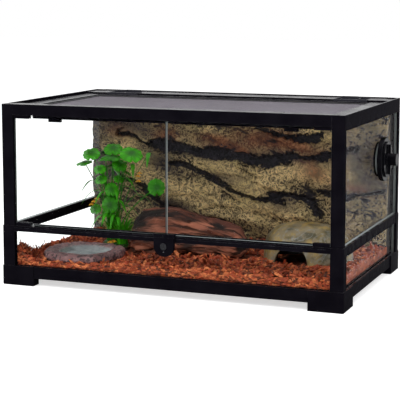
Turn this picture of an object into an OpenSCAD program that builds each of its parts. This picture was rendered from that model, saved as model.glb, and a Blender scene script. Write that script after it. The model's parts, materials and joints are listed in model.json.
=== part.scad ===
// Glass reptile terrarium with two hinged front doors, a lift-off screen cover,
// closable cable inlets, a round service port and its landscape of rock, bark and plants.
// Millimetres, +Z up. Pieces are placed from the frame's outer front left corner and
// then moved so that the origin is the middle of the base.

/* [Tank] */
// Width over the corner posts
tank_w = 510; // [460:1:620]
// Depth over the corner posts
tank_d = 318; // [300:1:400]
// Height from the floor to the top of the rim
tank_h = 264; // [250:1:340]
// Thickness of the wall and door panes
glass_t = 4; // [3:0.5:5]
// Thickness of the floor pane
floor_t = 5; // [4:0.5:6]
// Distance from the frame's outer face to a pane
pane_in = 3; // [2.5:0.25:3.5]
// Depth of the grooves that hold the panes
groove_d = 4; // [3:0.25:4.5]
// Clearance round a pane in its groove
pane_gap = 0.2; // [0.1:0.05:0.3]

/* [Base frame] */
// Height of the corner feet, which is the top of the base rails too
foot_h = 28.5; // [26:0.5:36]
// Length of each leg of a foot
foot_len = 50; // [42:1:64]
// How far a foot stands proud of the rails
foot_out = 1.5; // [1:0.25:3]
// Clear height under the base rails
rail_clear = 11; // [8:0.5:13]
// Thickness of a base rail
rail_t = 10; // [9:0.5:12]
// Width of the ledge under the floor pane
floor_ledge = 6; // [4:0.5:10]
// Thickness of that ledge
floor_ledge_t = 4; // [3:0.5:5]

/* [Posts and bars] */
// Width of a post on the front and back
post_w = 18; // [16:0.5:24]
// Thickness of the post's legs
post_t = 9; // [8.5:0.25:11]
// Length of a lower post's leg along the side
sleeve_side = 15; // [14:0.5:20]
// How far a lower post stands proud of the upper one
sleeve_out = 0.8; // [0.4:0.1:1.4]
// Radius on the outer edge of posts and feet
edge_r = 1.8; // [1:0.2:3]
// Height of the joint between lower and upper posts
seam_z = 87.5; // [80:0.5:100]
// Height of a side bar
side_bar_h = 14; // [12:0.5:16]
// Thickness of a side bar
side_bar_t = 9; // [8.5:0.25:11]
// Height of the sill bar's front face
sill_h = 7.7; // [7:0.1:9]
// Depth of the sill bar from front to back
sill_depth = 26; // [20:0.5:32]
// Drop from the post joint to the top of the sill bar
sill_drop = 0.6; // [0.4:0.1:1.2]
// Depth of the small step along the top of the sill's front face
sill_step = 1.2; // [0.6:0.2:1.6]

/* [Top frame] */
// Height of the front top rail's face
top_face_h = 15.5; // [14.5:0.5:18]
// Height of the side and back top rails
top_side_h = 21; // [20:0.5:26]
// Thickness of the rim
rim_t = 3; // [2.5:0.25:4]
// Width of the ledge that carries the screen cover
top_ledge = 32; // [28:0.5:36]
// Thickness of that ledge
top_ledge_t = 2.5; // [2:0.25:3]
// Depth from the rim's top to the ledge
ledge_drop = 9.5; // [9.5:0.25:11]
// Depth of the flat top of the front rail
front_cap = 20; // [17.5:0.5:22]
// Thickness of that flat top
cap_t = 2.5; // [2:0.25:3]
// Depth of the thick part of the front rail, where the door pins turn
front_body = 12; // [11.5:0.25:12.5]
// Drop from the rim's top to the back strip
strip_drop = 1.5; // [1:0.25:2]
// Depth of the back strip
strip_depth = 43; // [40:0.5:50]
// Wall of the back strip
strip_wall = 2.5; // [2:0.25:3]

/* [Doors] */
// Gap between a door and its post
door_gap = 1; // [0.8:0.1:1.5]
// Gap between the two doors
door_split = 1.6; // [1:0.1:2.4]
// Height of the gap under and over a door pane
door_rise = 1.5; // [1.3:0.1:2]
// Distance from the door's hinge edge to its pin
pin_in = 8; // [7:0.25:9]
// Radius of a hinge pin
pin_r = 1.5; // [1.2:0.1:1.8]
// Running clearance round pins, spindles and plugs
fit = 0.05; // [0.02:0.01:0.1]
// Length of a hinge clip
clip_len = 24; // [20:1:30]
// Height of a hinge clip
clip_h = 5; // [4.5:0.25:6]
// Wall of a hinge clip
clip_wall = 1.4; // [1:0.1:1.6]
// Thickness of the ribs that stop the doors
stop_t = 3; // [2:0.25:3.5]
// Height of those ribs
stop_h = 5; // [3:0.25:5.5]

/* [Lock] */
// Width of the lock plate
lock_w = 30; // [28:1:36]
// Height of the lock plate
lock_h = 26.5; // [25:0.1:30]
// Thickness of the lock plate
lock_t = 6; // [5.5:0.25:8]
// Radius of the key cylinder
key_r = 4.7; // [3.8:0.1:5.5]
// Thickness of the cam
cam_t = 2.2; // [1.6:0.1:2.4]
// Width of the cam
cam_w = 6; // [4:0.5:7]
// Height of a door catch
catch_h = 5.3; // [5:0.1:7]

/* [Screen cover] */
// Thickness of the screen frame
screen_t = 5.4; // [5:0.1:5.6]
// Width of the frame's side members
screen_side = 28.6; // [24:0.2:30]
// Width of its front and back members
screen_end = 12; // [10:0.5:16]
// Width of the lip under the mesh
screen_lip = 4; // [3:0.5:5]
// Depth of the mesh below the frame's top
mesh_drop = 3.4; // [3:0.1:3.8]
// Thickness of the mesh
mesh_t = 0.6; // [0.4:0.1:0.8]
// Number of gaps across the mesh
mesh_cols = 24; // [16:1:24]
// Number of gaps from front to back
mesh_rows = 12; // [8:1:12]
// Width of the bars between the gaps
mesh_bar = 1.2; // [0.8:0.1:2]
// Width of the rubber spline
spline_w = 3; // [2:0.25:3.5]
// Height of the rubber spline
spline_h = 1.5; // [1:0.25:2]

/* [Screen latches] */
// Distance from the tank's end to a latch's spindle
latch_in = 71; // [50:1:90]
// Length of a latch's lever from its spindle
latch_len = 17; // [15:0.5:18]
// Width of a latch's lever
latch_w = 5; // [4:0.25:5]
// Radius of a latch's spindle
latch_r = 2; // [1.6:0.1:2.2]
// Height of the grip under the rail
grip_h = 8; // [6:0.5:9]

/* [Cable inlets] */
// Width of a cable inlet
inlet_w = 53; // [50:1:60]
// Distance from the tank's end to an inlet
inlet_in = 40; // [30:1:50]
// Width of the cable hole
hole_w = 18; // [14:1:20]
// Depth of the cable hole
hole_d = 14; // [10:1:16]
// Width of a gate
gate_w = 26; // [24:1:27]
// Thickness of a gate's plate
gate_t = 2; // [1.6:0.1:2.2]
// Clearance round a gate
gate_gap = 0.3; // [0.2:0.05:0.35]
// Distance that the left gate stands open
left_open = 22.5; // [19:0.5:23]
// Distance that the right gate stands open
right_open = 16; // [15:0.5:18]

/* [Service port] */
// Height of the port's centre above the floor
port_z = 181.5; // [150:0.5:200]
// Distance from the tank's front to the port's centre
port_y = 217; // [150:1:220]
// Radius of the outer flange
port_r = 32; // [30:0.5:36]
// Thickness of the flange
port_flange_t = 7; // [5:0.5:9]
// Radius of the port's bore
port_bore = 20; // [17:0.5:21]
// Radius of the knob
knob_r = 9; // [7:0.5:11]
// Length of the knob
knob_len = 13; // [9:0.5:16]

/* [Landscape] */
// Height of the bark at the front
bark_front = 40; // [38:0.5:44]
// Height of the bark at the back
bark_back = 34; // [30:0.5:40]
// Thickness of the rock background without its relief
rock_base = 20; // [16:0.5:24]
// Height of the relief on it
rock_relief = 15; // [8:0.5:16]
// Height of the cave hide
hide_h = 56; // [48:1:62]
// Half width of the cave hide
hide_rx = 70; // [60:1:72]
// Half depth of the cave hide
hide_ry = 54; // [48:1:58]
// Wall of the cave hide
hide_wall = 6; // [4:0.5:8]
// Width of the hide's mouth
mouth_w = 50; // [36:1:54]
// Height of the hide's mouth
mouth_h = 28; // [22:1:32]
// Height of the water dish
dish_h = 14; // [12:0.5:18]
// Radius of the driftwood at its thick end
log_r = 33; // [26:0.5:34]
// Height of the leafy plant
plant_h = 148; // [130:1:152]
// Radius of a round leaf
leaf_r = 8.5; // [7:0.5:10]
// Height of the grassy plant
grass_h = 50; // [36:1:54]

/* [Hidden] */
$fn = 48;

// Colours
FRAME = [0.05, 0.045, 0.06];
GLASS = [0.80, 0.90, 0.88, 0.35];
STEEL = [0.62, 0.62, 0.64];

// Overrun of every cut past the face that it opens
cut = 1;
// Gap between a piece and the flat face that it rests on
rest = 0.1;

// Panes and grooves, measured inwards from the frame's outer face
slot_in = pane_in - pane_gap;
slot_w = glass_t + 2 * pane_gap;
pane_back = pane_in + glass_t;
floor_z = rail_clear + floor_ledge_t;
floor_top = floor_z + floor_t;
sill_top = seam_z - sill_drop;
sill_z = sill_top - sill_h;
side_bar_z = seam_z - side_bar_h;
face_z = tank_h - top_face_h;
side_top_z = tank_h - top_side_h;
ledge_top = tank_h - ledge_drop;
ledge_z = ledge_top - top_ledge_t;
pane_foot_z = foot_h - groove_d + pane_gap;
pane_head_z = side_top_z + groove_d - pane_gap;
post_groove_x = post_w - groove_d;
sleeve_groove_y = sleeve_side - groove_d;
post_groove_y = post_t - groove_d;

// Doors
mid_x = tank_w / 2;
door_x = post_w + door_gap;
door_y = pane_in + 1;
pin_x = door_x + pin_in;
pin_y = door_y + glass_t / 2;
clip_gap = 0.3;
door_z0 = sill_top + door_rise;
door_z1 = face_z - door_rise;
clip_z0 = sill_top + clip_gap;
clip_z1 = face_z - clip_gap;
pin_up = 5;
pin_down = 3;
clip_x = door_x + 0.2;
stop_y = door_y + glass_t + 0.8;
stop_x = post_w + clip_len + 4;

// Lock
lock_z1 = sill_top - 1;
lock_round = lock_w / 2;
lock_z0 = lock_z1 - lock_h;
key_z = lock_z0 + lock_round - 0.6;
key_proud = 0.8;
cam_reach = lock_round - 1.6;
cam_room = cam_reach + 0.5;
cam_y = -lock_t / 2 - 0.3;
cam_gap = 0.2;
catch_z0 = lock_z1 + clip_gap;

// Screen cover
screen_x0 = rim_t + 0.4;
screen_y0 = front_cap + 0.4;
strip_y0 = tank_d - rim_t - 0.3 - strip_depth;
inlet_proud = 1.5;
screen_y1 = strip_y0 - inlet_proud - 0.6;
screen_z0 = ledge_top + rest;
screen_z1 = screen_z0 + screen_t;
win_x0 = screen_x0 + screen_side;
win_y0 = screen_y0 + screen_end;
win_y1 = screen_y1 - screen_end;
mesh_z = screen_z1 - mesh_drop;

// Latches
latch_y = front_cap - 4;
boss_r = latch_r + 2;
boss_h = 5;
grip_z1 = ledge_z - boss_h - clip_gap;
grip_z0 = grip_z1 - grip_h;
arm_z0 = screen_z1 + 0.4;
arm_t = 2.4;
latch_tail = latch_w / 2 + 0.5;

// Back strip and cable inlets
strip_z1 = tank_h - strip_drop;
inlet_wall = 2;
inlet_floor = 2;
inlet_y0 = strip_y0 - inlet_proud;
inlet_y1 = tank_d - rim_t - 0.6;
inlet_z0 = ledge_top + rest;
inlet_z1 = strip_z1 + 0.3;
gate_z0 = inlet_z0 + inlet_floor + gate_gap;
gate_groove = 1.8;
lip_in = inlet_wall + gate_groove;
hole_x = inlet_in + inlet_wall + 3;
hole_y = strip_y0 + 9;
thumb_d = 8;
thumb_z1 = tank_h + 2.2;

// Service port
port_face = tank_w - pane_in;
port_neck = port_bore + 2.8;
port_hole = port_neck + pane_gap;
nut_t = 2.5;
nut_r = port_neck + 2.7;
cap_head_r = port_r - 6;
cap_head_t = 2.6;
port_reach = port_face + port_flange_t + 0.3 + cap_head_t + knob_len;

// Landscape: the ground inside the base rails and in front of the rock
bed_x0 = max(rail_t, side_bar_t, post_t) + 0.4;
bed_x1 = tank_w - bed_x0;
rock_y1 = tank_d - max(rail_t, post_t) - 0.4;
rock_y0 = rock_y1 - rock_base;
bed_y0 = bed_x0;
bed_y1 = rock_y0 - 0.4;
bed_cols = 44;
bed_rows = 24;
rock_x0 = bed_x0;
rock_x1 = tank_w - rock_x0;
rock_z1 = side_top_z - 0.5;
rock_cols = 46;
rock_rows = 22;
// Below this height the rock's face is flat, where the bark lies against it
rock_flat_z = bark_back + 10;

// Width of the level margin round each resting place
pad_margin = 18;
// Width of the slope from the driftwood's margin down to the open ground
pad_fade = 14;
// Height of the small lumps, and centre, half sizes and height of the mound
lump_h = 1.6;
mound_at = [bed_x0 + 8, bed_y0 + 28];
mound_half = [20, 28];
mound_h = 17;
// Each resting place: centre, half sizes and the height of the level bark under it
dish_at = [bed_x0 + 87, bed_y0 + 60];
dish_half = [58, 56];
dish_z = bark_front - 8;
log_from = [bed_x0 + 138, bed_y0 + 118];
log_to = [bed_x1 - 174, bed_y0 + 130];
log_z = bark_front - 3;
hide_at = [bed_x1 - 8 - hide_rx, bed_y0 + 114];
hide_z = bark_front + 2;
plant_at = [bed_x0 + 87, bed_y0 + 157];
plant_base_r = 17;
plant_z = bark_front - 3;
grass_at = [bed_x0 + 111, bed_y0 + 138];
grass_base_r = 12;
grass_z = bark_front - 3;

part_mid = [(port_reach - foot_out) / 2, (tank_d + foot_out - lock_t - key_proud) / 2];

// ---------------------------------------------------------------- helpers

// Moves a piece from the corner coordinates to the part's own origin
module placed() {
    translate([-part_mid[0], -part_mid[1], 0]) children();
}

// Extrudes a profile of inward distance and height along the front
module along_x(x0, x1) {
    translate([x0, 0, 0]) rotate([90, 0, 90]) linear_extrude(x1 - x0) children();
}

// Extrudes such a profile along the left side
module along_y(y0, y1) {
    translate([0, y1, 0]) rotate([90, 0, 0]) linear_extrude(y1 - y0) children();
}

module to_right() {
    translate([tank_w, 0, 0]) mirror([1, 0, 0]) children();
}

module to_back() {
    translate([0, tank_d, 0]) mirror([0, 1, 0]) children();
}

// A box between two corners
module block(a, b) {
    translate(a) cube(b - a);
}

// The plan shape that rounds an outer corner
module corner_cut(out) {
    translate([-out, -out]) difference() {
        translate([-cut, -cut]) square(edge_r + cut);
        translate([edge_r, edge_r]) circle(edge_r);
    }
}

function clamp01(t) = max(0, min(1, t));
function smooth(t) = let (c = clamp01(t)) c * c * (3 - 2 * c);

// Closed surface from rings of points that run anticlockwise seen from the far end
module loft(rings) {
    n = len(rings[0]);
    last = len(rings) - 1;
    points = [for (r = rings) for (p = r) p];
    sides = [for (i = [0 : last - 1]) for (j = [0 : n - 1]) let (k = (j + 1) % n)
        each [[i * n + j, (i + 1) * n + k, i * n + k],
              [i * n + j, (i + 1) * n + j, (i + 1) * n + k]]];
    first_end = [[for (j = [0 : n - 1]) j]];
    last_end = [[for (j = [n - 1 : -1 : 0]) last * n + j]];
    polyhedron(points = points, faces = concat(sides, first_end, last_end));
}

// ------------------------------------------------------------- base frame

module base_profile() {
    difference() {
        union() {
            translate([0, rail_clear]) square([rail_t, foot_h - rail_clear]);
            translate([0, rail_clear]) square([rail_t + floor_ledge, floor_ledge_t]);
        }
        translate([slot_in, foot_h - groove_d]) square([slot_w, groove_d + cut]);
    }
}

module foot_profile() {
    difference() {
        union() {
            translate([-foot_out, 0]) square([rail_t + foot_out, foot_h]);
            square([rail_t + floor_ledge, floor_z]);
        }
        translate([slot_in, foot_h - groove_d]) square([slot_w, groove_d + cut]);
    }
}

module foot() {
    end = foot_len - foot_out;
    color(FRAME) difference() {
        union() {
            along_x(-foot_out, end) foot_profile();
            along_y(-foot_out, end) foot_profile();
        }
        translate([0, 0, -cut]) linear_extrude(foot_h + 2 * cut) corner_cut(foot_out);
    }
}

module base_rail_x() {
    color(FRAME) along_x(foot_len - foot_out, tank_w - foot_len + foot_out) base_profile();
}

module base_rail_y() {
    color(FRAME) along_y(foot_len - foot_out, tank_d - foot_len + foot_out) base_profile();
}

module floor_glass() {
    side = rail_t + 0.3;
    placed() color(GLASS)
        block([side, side, floor_z], [tank_w - side, tank_d - side, floor_top]);
}

module foot_front_left() placed() foot();
module foot_front_right() placed() to_right() foot();
module foot_back_left() placed() to_back() foot();
module foot_back_right() placed() to_back() to_right() foot();
module base_rail_front() placed() base_rail_x();
module base_rail_back() placed() to_back() base_rail_x();
module base_rail_left() placed() base_rail_y();
module base_rail_right() placed() to_right() base_rail_y();

// ---------------------------------------------------------- posts and bars

module lower_post() {
    color(FRAME) translate([0, 0, foot_h]) linear_extrude(seam_z - foot_h) difference() {
        union() {
            translate([-sleeve_out, -sleeve_out]) square([post_w + sleeve_out, post_t + sleeve_out]);
            translate([-sleeve_out, -sleeve_out]) square([post_t + sleeve_out, sleeve_side + sleeve_out]);
        }
        corner_cut(sleeve_out);
        translate([post_groove_x, slot_in]) square([groove_d + cut, slot_w]);
        translate([slot_in, sleeve_groove_y]) square([slot_w, groove_d + cut]);
    }
}

// The front posts have no groove beside the doors
module upper_post(back) {
    color(FRAME) difference() {
        translate([0, 0, seam_z]) linear_extrude(tank_h - seam_z) difference() {
            square([post_w, post_t]);
            corner_cut(0);
        }
        translate([slot_in, post_groove_y, seam_z - cut])
            cube([slot_w, groove_d + cut, pane_head_z + pane_gap - seam_z + cut]);
        if (back)
            translate([post_groove_x, slot_in, seam_z - cut])
                cube([groove_d + cut, slot_w, pane_head_z + pane_gap - seam_z + cut]);
    }
}

module sill_profile() {
    difference() {
        union() {
            translate([0, sill_z]) square([sill_depth, sill_h - 2.5]);
            translate([sill_step, sill_z]) square([sill_depth - sill_step, sill_h]);
        }
        translate([slot_in, sill_z - cut]) square([slot_w, groove_d + cut]);
    }
}

module sill_bar() {
    placed() color(FRAME) difference() {
        union() {
            along_x(post_w, tank_w - post_w) sill_profile();
            block([stop_x, stop_y, sill_top - cut],
                  [tank_w - stop_x, stop_y + stop_t, sill_top + stop_h - 2]);
        }
        for (x = [pin_x, tank_w - pin_x])
            translate([x, pin_y, sill_top - pin_down - 0.4]) cylinder(r = pin_r + fit, h = 10);
    }
}

module side_bar() {
    color(FRAME) along_y(sleeve_side, tank_d - sleeve_side) difference() {
        translate([0, side_bar_z]) square([side_bar_t, side_bar_h]);
        translate([slot_in, side_bar_z - cut]) square([slot_w, groove_d + cut]);
    }
}

module lower_post_front_left() placed() lower_post();
module lower_post_front_right() placed() to_right() lower_post();
module lower_post_back_left() placed() to_back() lower_post();
module lower_post_back_right() placed() to_back() to_right() lower_post();
module upper_post_front_left() placed() upper_post(false);
module upper_post_front_right() placed() to_right() upper_post(false);
module upper_post_back_left() placed() to_back() upper_post(true);
module upper_post_back_right() placed() to_back() to_right() upper_post(true);
module side_bar_left() placed() side_bar();
module side_bar_right() placed() to_right() side_bar();

// ---------------------------------------------------------------- top frame

module front_top_profile() {
    translate([0, face_z]) square([front_body, ledge_top - face_z]);
    translate([0, face_z]) square([rim_t, top_face_h]);
    translate([0, tank_h - cap_t]) square([front_cap, cap_t]);
    translate([0, ledge_z]) square([top_ledge, top_ledge_t]);
}

module latch_window(x) {
    block([x - latch_tail - 1, latch_y - latch_tail - 1, tank_h - cap_t - cut],
          [x + latch_len + 1, front_cap + cut, tank_h + cut]);
}

module top_rail_front() {
    right_x = tank_w - latch_in;
    placed() color(FRAME) difference() {
        union() {
            along_x(post_w, tank_w - post_w) front_top_profile();
            block([stop_x, stop_y, face_z - stop_h],
                  [tank_w - stop_x, stop_y + stop_t, face_z + cut]);
            for (x = [latch_in, right_x])
                translate([x, latch_y, ledge_z - boss_h]) cylinder(r = boss_r, h = boss_h + 1);
        }
        latch_window(latch_in);
        to_right() latch_window(latch_in);
        for (x = [latch_in, right_x])
            translate([x, latch_y, ledge_z - boss_h - cut])
                cylinder(r = latch_r + fit, h = boss_h + top_ledge_t + 2 * cut);
        for (x = [pin_x, tank_w - pin_x])
            translate([x, pin_y, face_z - cut]) cylinder(r = pin_r + fit, h = pin_up + cut);
    }
}

module side_wall_profile() {
    difference() {
        union() {
            translate([0, side_top_z]) square([side_bar_t, ledge_top - side_top_z]);
            translate([0, side_top_z]) square([rim_t, top_side_h]);
        }
        translate([slot_in, side_top_z - cut]) square([slot_w, groove_d + cut]);
    }
}

module ledge_profile(reach) {
    translate([side_bar_t - cut, ledge_z]) square([reach - side_bar_t + cut, top_ledge_t]);
}

// The small pad at the front closes the corner beside the flat top of the front rail
module top_rail_y() {
    color(FRAME) union() {
        along_y(post_t, tank_d - post_t) side_wall_profile();
        along_y(top_ledge + 0.2, tank_d - top_ledge) ledge_profile(top_ledge);
        block([0, post_t, tank_h - cap_t], [post_w, front_cap, tank_h]);
    }
}

module top_rail_back() {
    placed() to_back() color(FRAME) union() {
        along_x(post_w, tank_w - post_w) side_wall_profile();
        along_x(post_w, tank_w - post_w) ledge_profile(front_cap);
    }
}

module top_rail_left() placed() top_rail_y();
module top_rail_right() placed() to_right() top_rail_y();

// An inverted channel with a pocket for each cable inlet
module back_strip() {
    x0 = rim_t + 0.3;
    y1 = strip_y0 + strip_depth;
    z0 = ledge_top + rest;
    placed() color(FRAME) difference() {
        block([x0, strip_y0, z0], [tank_w - x0, y1, strip_z1]);
        block([-cut, strip_y0 + strip_wall, z0 - cut], [tank_w + cut, y1 - strip_wall, strip_z1 - strip_wall]);
        for (x = [inlet_in, tank_w - inlet_in - inlet_w])
            block([x - 0.2, strip_y0 - cut, z0 - cut], [x + inlet_w + 0.2, y1 + cut, strip_z1 + cut]);
        for (x = [-cut, tank_w - post_w - 0.3])
            block([x, tank_d - post_t - 0.3, z0 - cut], [x + post_w + 0.3 + cut, tank_d, strip_z1 + cut]);
    }
}

// -------------------------------------------------------------------- panes

module lower_pane_front() {
    placed() color(GLASS)
        block([post_groove_x + pane_gap, pane_in, pane_foot_z],
              [tank_w - post_groove_x - pane_gap, pane_back, sill_z + groove_d - pane_gap]);
}

module lower_side_pane() {
    color(GLASS)
        block([pane_in, sleeve_groove_y + pane_gap, pane_foot_z],
              [pane_back, tank_d - sleeve_groove_y - pane_gap, side_bar_z + groove_d - pane_gap]);
}

module upper_side_pane() {
    color(GLASS)
        block([pane_in, post_groove_y + pane_gap, seam_z + pane_gap],
              [pane_back, tank_d - post_groove_y - pane_gap, pane_head_z]);
}

module back_pane() {
    placed() to_back() color(GLASS)
        block([post_groove_x + pane_gap, pane_in, pane_foot_z],
              [tank_w - post_groove_x - pane_gap, pane_back, pane_head_z]);
}

module lower_pane_left() placed() lower_side_pane();
module lower_pane_right() placed() to_right() lower_side_pane();
module upper_pane_left() placed() upper_side_pane();

module upper_pane_right() {
    placed() difference() {
        to_right() upper_side_pane();
        port_axis(port_face - glass_t - cut) cylinder(r = port_hole, h = glass_t + 2 * cut);
    }
}

// -------------------------------------------------------------------- doors

module door_glass() {
    color(GLASS)
        block([door_x, door_y, door_z0], [mid_x - door_split / 2, door_y + glass_t, door_z1]);
}

// One clip on each corner of the door's hinge edge, with its pin
module hinge_clips() {
    color(FRAME) {
        difference() {
            union() {
                clip_body(clip_z1 - clip_h);
                translate([pin_x, pin_y, clip_z1 - 1]) cylinder(r = pin_r, h = pin_up + 0.7);
            }
            clip_pocket(clip_z1 - clip_h - cut, door_z1 + rest);
        }
        difference() {
            union() {
                clip_body(clip_z0);
                translate([pin_x, pin_y, clip_z0 - pin_down]) cylinder(r = pin_r, h = pin_down + 1);
            }
            clip_pocket(door_z0 - rest, clip_z0 + clip_h + cut);
        }
    }
}

module clip_body(z) {
    block([clip_x, door_y - clip_wall, z],
          [clip_x + clip_len, door_y + glass_t + clip_wall, z + clip_h]);
}

module clip_pocket(z0, z1) {
    block([0, door_y - rest, z0], [clip_x + clip_len + cut, door_y + glass_t + rest, z1]);
}

// The space that the cam turns in, through the lock plate and the catches
module cam_space() {
    translate([mid_x, cam_y - cam_t / 2 - cam_gap, key_z]) rotate([-90, 0, 0])
        cylinder(r = cam_room, h = cam_t + 2 * cam_gap);
}

module door_catch() {
    x0 = mid_x - lock_w / 2;
    x1 = mid_x - door_split / 4;
    color(FRAME) difference() {
        union() {
            block([x0, -lock_t, catch_z0], [x1, -clip_gap, catch_z0 + catch_h]);
            block([x0, -clip_gap - cut, clip_z0], [x1, door_y - rest, catch_z0 + catch_h]);
        }
        cam_space();
    }
}

module door_glass_left() placed() door_glass();
module door_glass_right() placed() to_right() door_glass();
module hinge_clips_left() placed() hinge_clips();
module hinge_clips_right() placed() to_right() hinge_clips();
module door_catch_left() placed() door_catch();
module door_catch_right() placed() to_right() door_catch();

// --------------------------------------------------------------------- lock

module lock_body() {
    round_z = lock_z0 + lock_round;
    placed() color(FRAME) difference() {
        union() {
            block([mid_x - lock_w / 2, -lock_t, round_z], [mid_x + lock_w / 2, 0, lock_z1]);
            translate([mid_x, -lock_t, round_z]) rotate([-90, 0, 0])
                cylinder(r = lock_round, h = lock_t);
        }
        block([0, -lock_t - cut, lock_z1], [tank_w, cut, tank_h]);
        cam_space();
        translate([mid_x, -lock_t - cut, key_z]) rotate([-90, 0, 0])
            cylinder(r = key_r + fit, h = lock_t + 2 * cut);
    }
}

// The key slot and a small index dot are cut in the cylinder's face
module lock_cylinder() {
    placed() color(STEEL) difference() {
        translate([mid_x, -lock_t - key_proud, key_z]) rotate([-90, 0, 0])
            cylinder(r = key_r, h = lock_t + key_proud - 0.2);
        block([mid_x - 0.5, -lock_t - key_proud - cut, key_z - 2.6],
              [mid_x + 0.5, -lock_t - key_proud + 1.2, key_z + 2.6]);
        cam_bar(key_r + cut);
    }
}

// The cam's bar runs from the far side of the cylinder out to the given reach
module cam_bar(reach) {
    block([mid_x - key_r - cut, cam_y - cam_t / 2, key_z - cam_w / 2],
          [mid_x + reach, cam_y + cam_t / 2, key_z + cam_w / 2]);
}

module lock_cam() {
    placed() color(STEEL) intersection() {
        cam_bar(cam_reach);
        union() {
            translate([mid_x, -lock_t, key_z]) rotate([-90, 0, 0])
                cylinder(r = key_r, h = lock_t);
            block([mid_x, -lock_t, key_z - cam_w], [mid_x + lock_w, 0, key_z + cam_w]);
        }
    }
}

// ------------------------------------------------------------- screen cover

module screen_frame() {
    lip_x = win_x0 + screen_lip;
    placed() color(FRAME) difference() {
        block([screen_x0, screen_y0, screen_z0], [tank_w - screen_x0, screen_y1, screen_z1]);
        block([win_x0, win_y0, mesh_z], [tank_w - win_x0, win_y1, screen_z1 + cut]);
        block([lip_x, win_y0 + screen_lip, screen_z0 - cut],
              [tank_w - lip_x, win_y1 - screen_lip, screen_z1]);
    }
}

module screen_mesh() {
    x0 = win_x0 + pane_gap;
    y0 = win_y0 + pane_gap;
    w = tank_w - 2 * x0;
    d = win_y1 - pane_gap - y0;
    pitch_x = (w - 2 * screen_lip - mesh_bar) / mesh_cols;
    pitch_y = (d - 2 * screen_lip - mesh_bar) / mesh_rows;
    placed() color([0.42, 0.40, 0.44]) translate([x0, y0, mesh_z]) linear_extrude(mesh_t)
        difference() {
            square([w, d]);
            for (i = [0 : mesh_cols - 1]) for (j = [0 : mesh_rows - 1])
                translate([screen_lip + mesh_bar + i * pitch_x, screen_lip + mesh_bar + j * pitch_y])
                    square([pitch_x - mesh_bar, pitch_y - mesh_bar]);
        }
}

module screen_spline() {
    z0 = mesh_z + mesh_t;
    in = spline_w + pane_gap;
    placed() color([0.10, 0.10, 0.11]) difference() {
        block([win_x0 + pane_gap, win_y0 + pane_gap, z0],
              [tank_w - win_x0 - pane_gap, win_y1 - pane_gap, z0 + spline_h]);
        block([win_x0 + in, win_y0 + in, z0 - cut],
              [tank_w - win_x0 - in, win_y1 - in, z0 + spline_h + cut]);
    }
}

// A spindle with a grip under the rail and an arm in the window of the flat top
module screen_latch() {
    color(FRAME) translate([latch_in, latch_y, 0]) union() {
        lever_bar(grip_z0, grip_z1, latch_len);
        lever_bar(arm_z0, arm_z0 + arm_t, latch_len - 3);
        translate([0, 0, grip_z0 + 1]) cylinder(r = latch_r, h = arm_z0 + arm_t / 2 - grip_z0);
    }
}

module lever_bar(z0, z1, reach) {
    block([-latch_w / 2 + 0.2, -latch_w / 2, z0], [reach, latch_w / 2, z1]);
}

module screen_latch_left() placed() screen_latch();
module screen_latch_right() placed() to_right() screen_latch();

// ------------------------------------------------------------- cable inlets

// An open tray; lips along its front and back hold the gate down
module cable_inlet() {
    x0 = inlet_in;
    x1 = inlet_in + inlet_w;
    groove_z1 = gate_z0 + gate_t + gate_gap;
    color([0.16, 0.16, 0.18]) difference() {
        block([x0, inlet_y0, inlet_z0], [x1, inlet_y1, inlet_z1]);
        block([x0 + inlet_wall, inlet_y0 + inlet_wall, inlet_z0 + inlet_floor],
              [x1 - inlet_wall, inlet_y1 - inlet_wall, groove_z1]);
        block([x0 + inlet_wall, inlet_y0 + lip_in, inlet_z0 + inlet_floor],
              [x1 - inlet_wall, inlet_y1 - lip_in, inlet_z1 + cut]);
        block([hole_x, hole_y, inlet_z0 - cut], [hole_x + hole_w, hole_y + hole_d, inlet_z1]);
    }
}

// The gate covers the hole when it is slid back by the distance that it stands open
module cable_gate(open) {
    x0 = inlet_in + inlet_wall + 0.4 + open;
    x1 = x0 + gate_w;
    side = inlet_wall + gate_gap;
    pad = lip_in + gate_gap;
    thumb_y = (inlet_y0 + inlet_y1) / 2;
    color(FRAME) union() {
        block([x0, inlet_y0 + side, gate_z0], [x1, inlet_y1 - side, gate_z0 + gate_t]);
        block([x0, inlet_y0 + pad, gate_z0], [x1, inlet_y1 - pad, strip_z1 - 0.3]);
        for (k = [-1 : 1])
            block([x0 + 0.6, thumb_y + k * 3 - 1, strip_z1 - 1],
                  [x1 - 0.6, thumb_y + k * 3 + 1, thumb_z1 - 0.6 * abs(k)]);
    }
}

module cable_inlet_left() placed() cable_inlet();
module cable_inlet_right() placed() to_right() cable_inlet();
module cable_gate_left() placed() cable_gate(left_open);
module cable_gate_right() placed() to_right() cable_gate(right_open);

// ------------------------------------------------------------- service port

// Turns a piece drawn along +Z to point out of the right pane, starting at x
module port_axis(x) {
    translate([x, port_y, port_z]) rotate([0, 90, 0]) children();
}

module port_flange() {
    neck_x = port_face - glass_t - nut_t;
    placed() color(FRAME) difference() {
        union() {
            port_axis(port_face) cylinder(r = port_r, h = port_flange_t);
            port_axis(neck_x) cylinder(r = port_neck, h = glass_t + nut_t + cut);
        }
        port_axis(neck_x - cut) cylinder(r = port_bore + fit, h = 40);
    }
}

module port_nut() {
    placed() color(FRAME) difference() {
        port_axis(port_face - glass_t - nut_t) cylinder(r = nut_r, h = nut_t);
        port_axis(port_face - glass_t - nut_t - cut)
            cylinder(r = port_neck + fit, h = nut_t + 2 * cut);
    }
}

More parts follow.
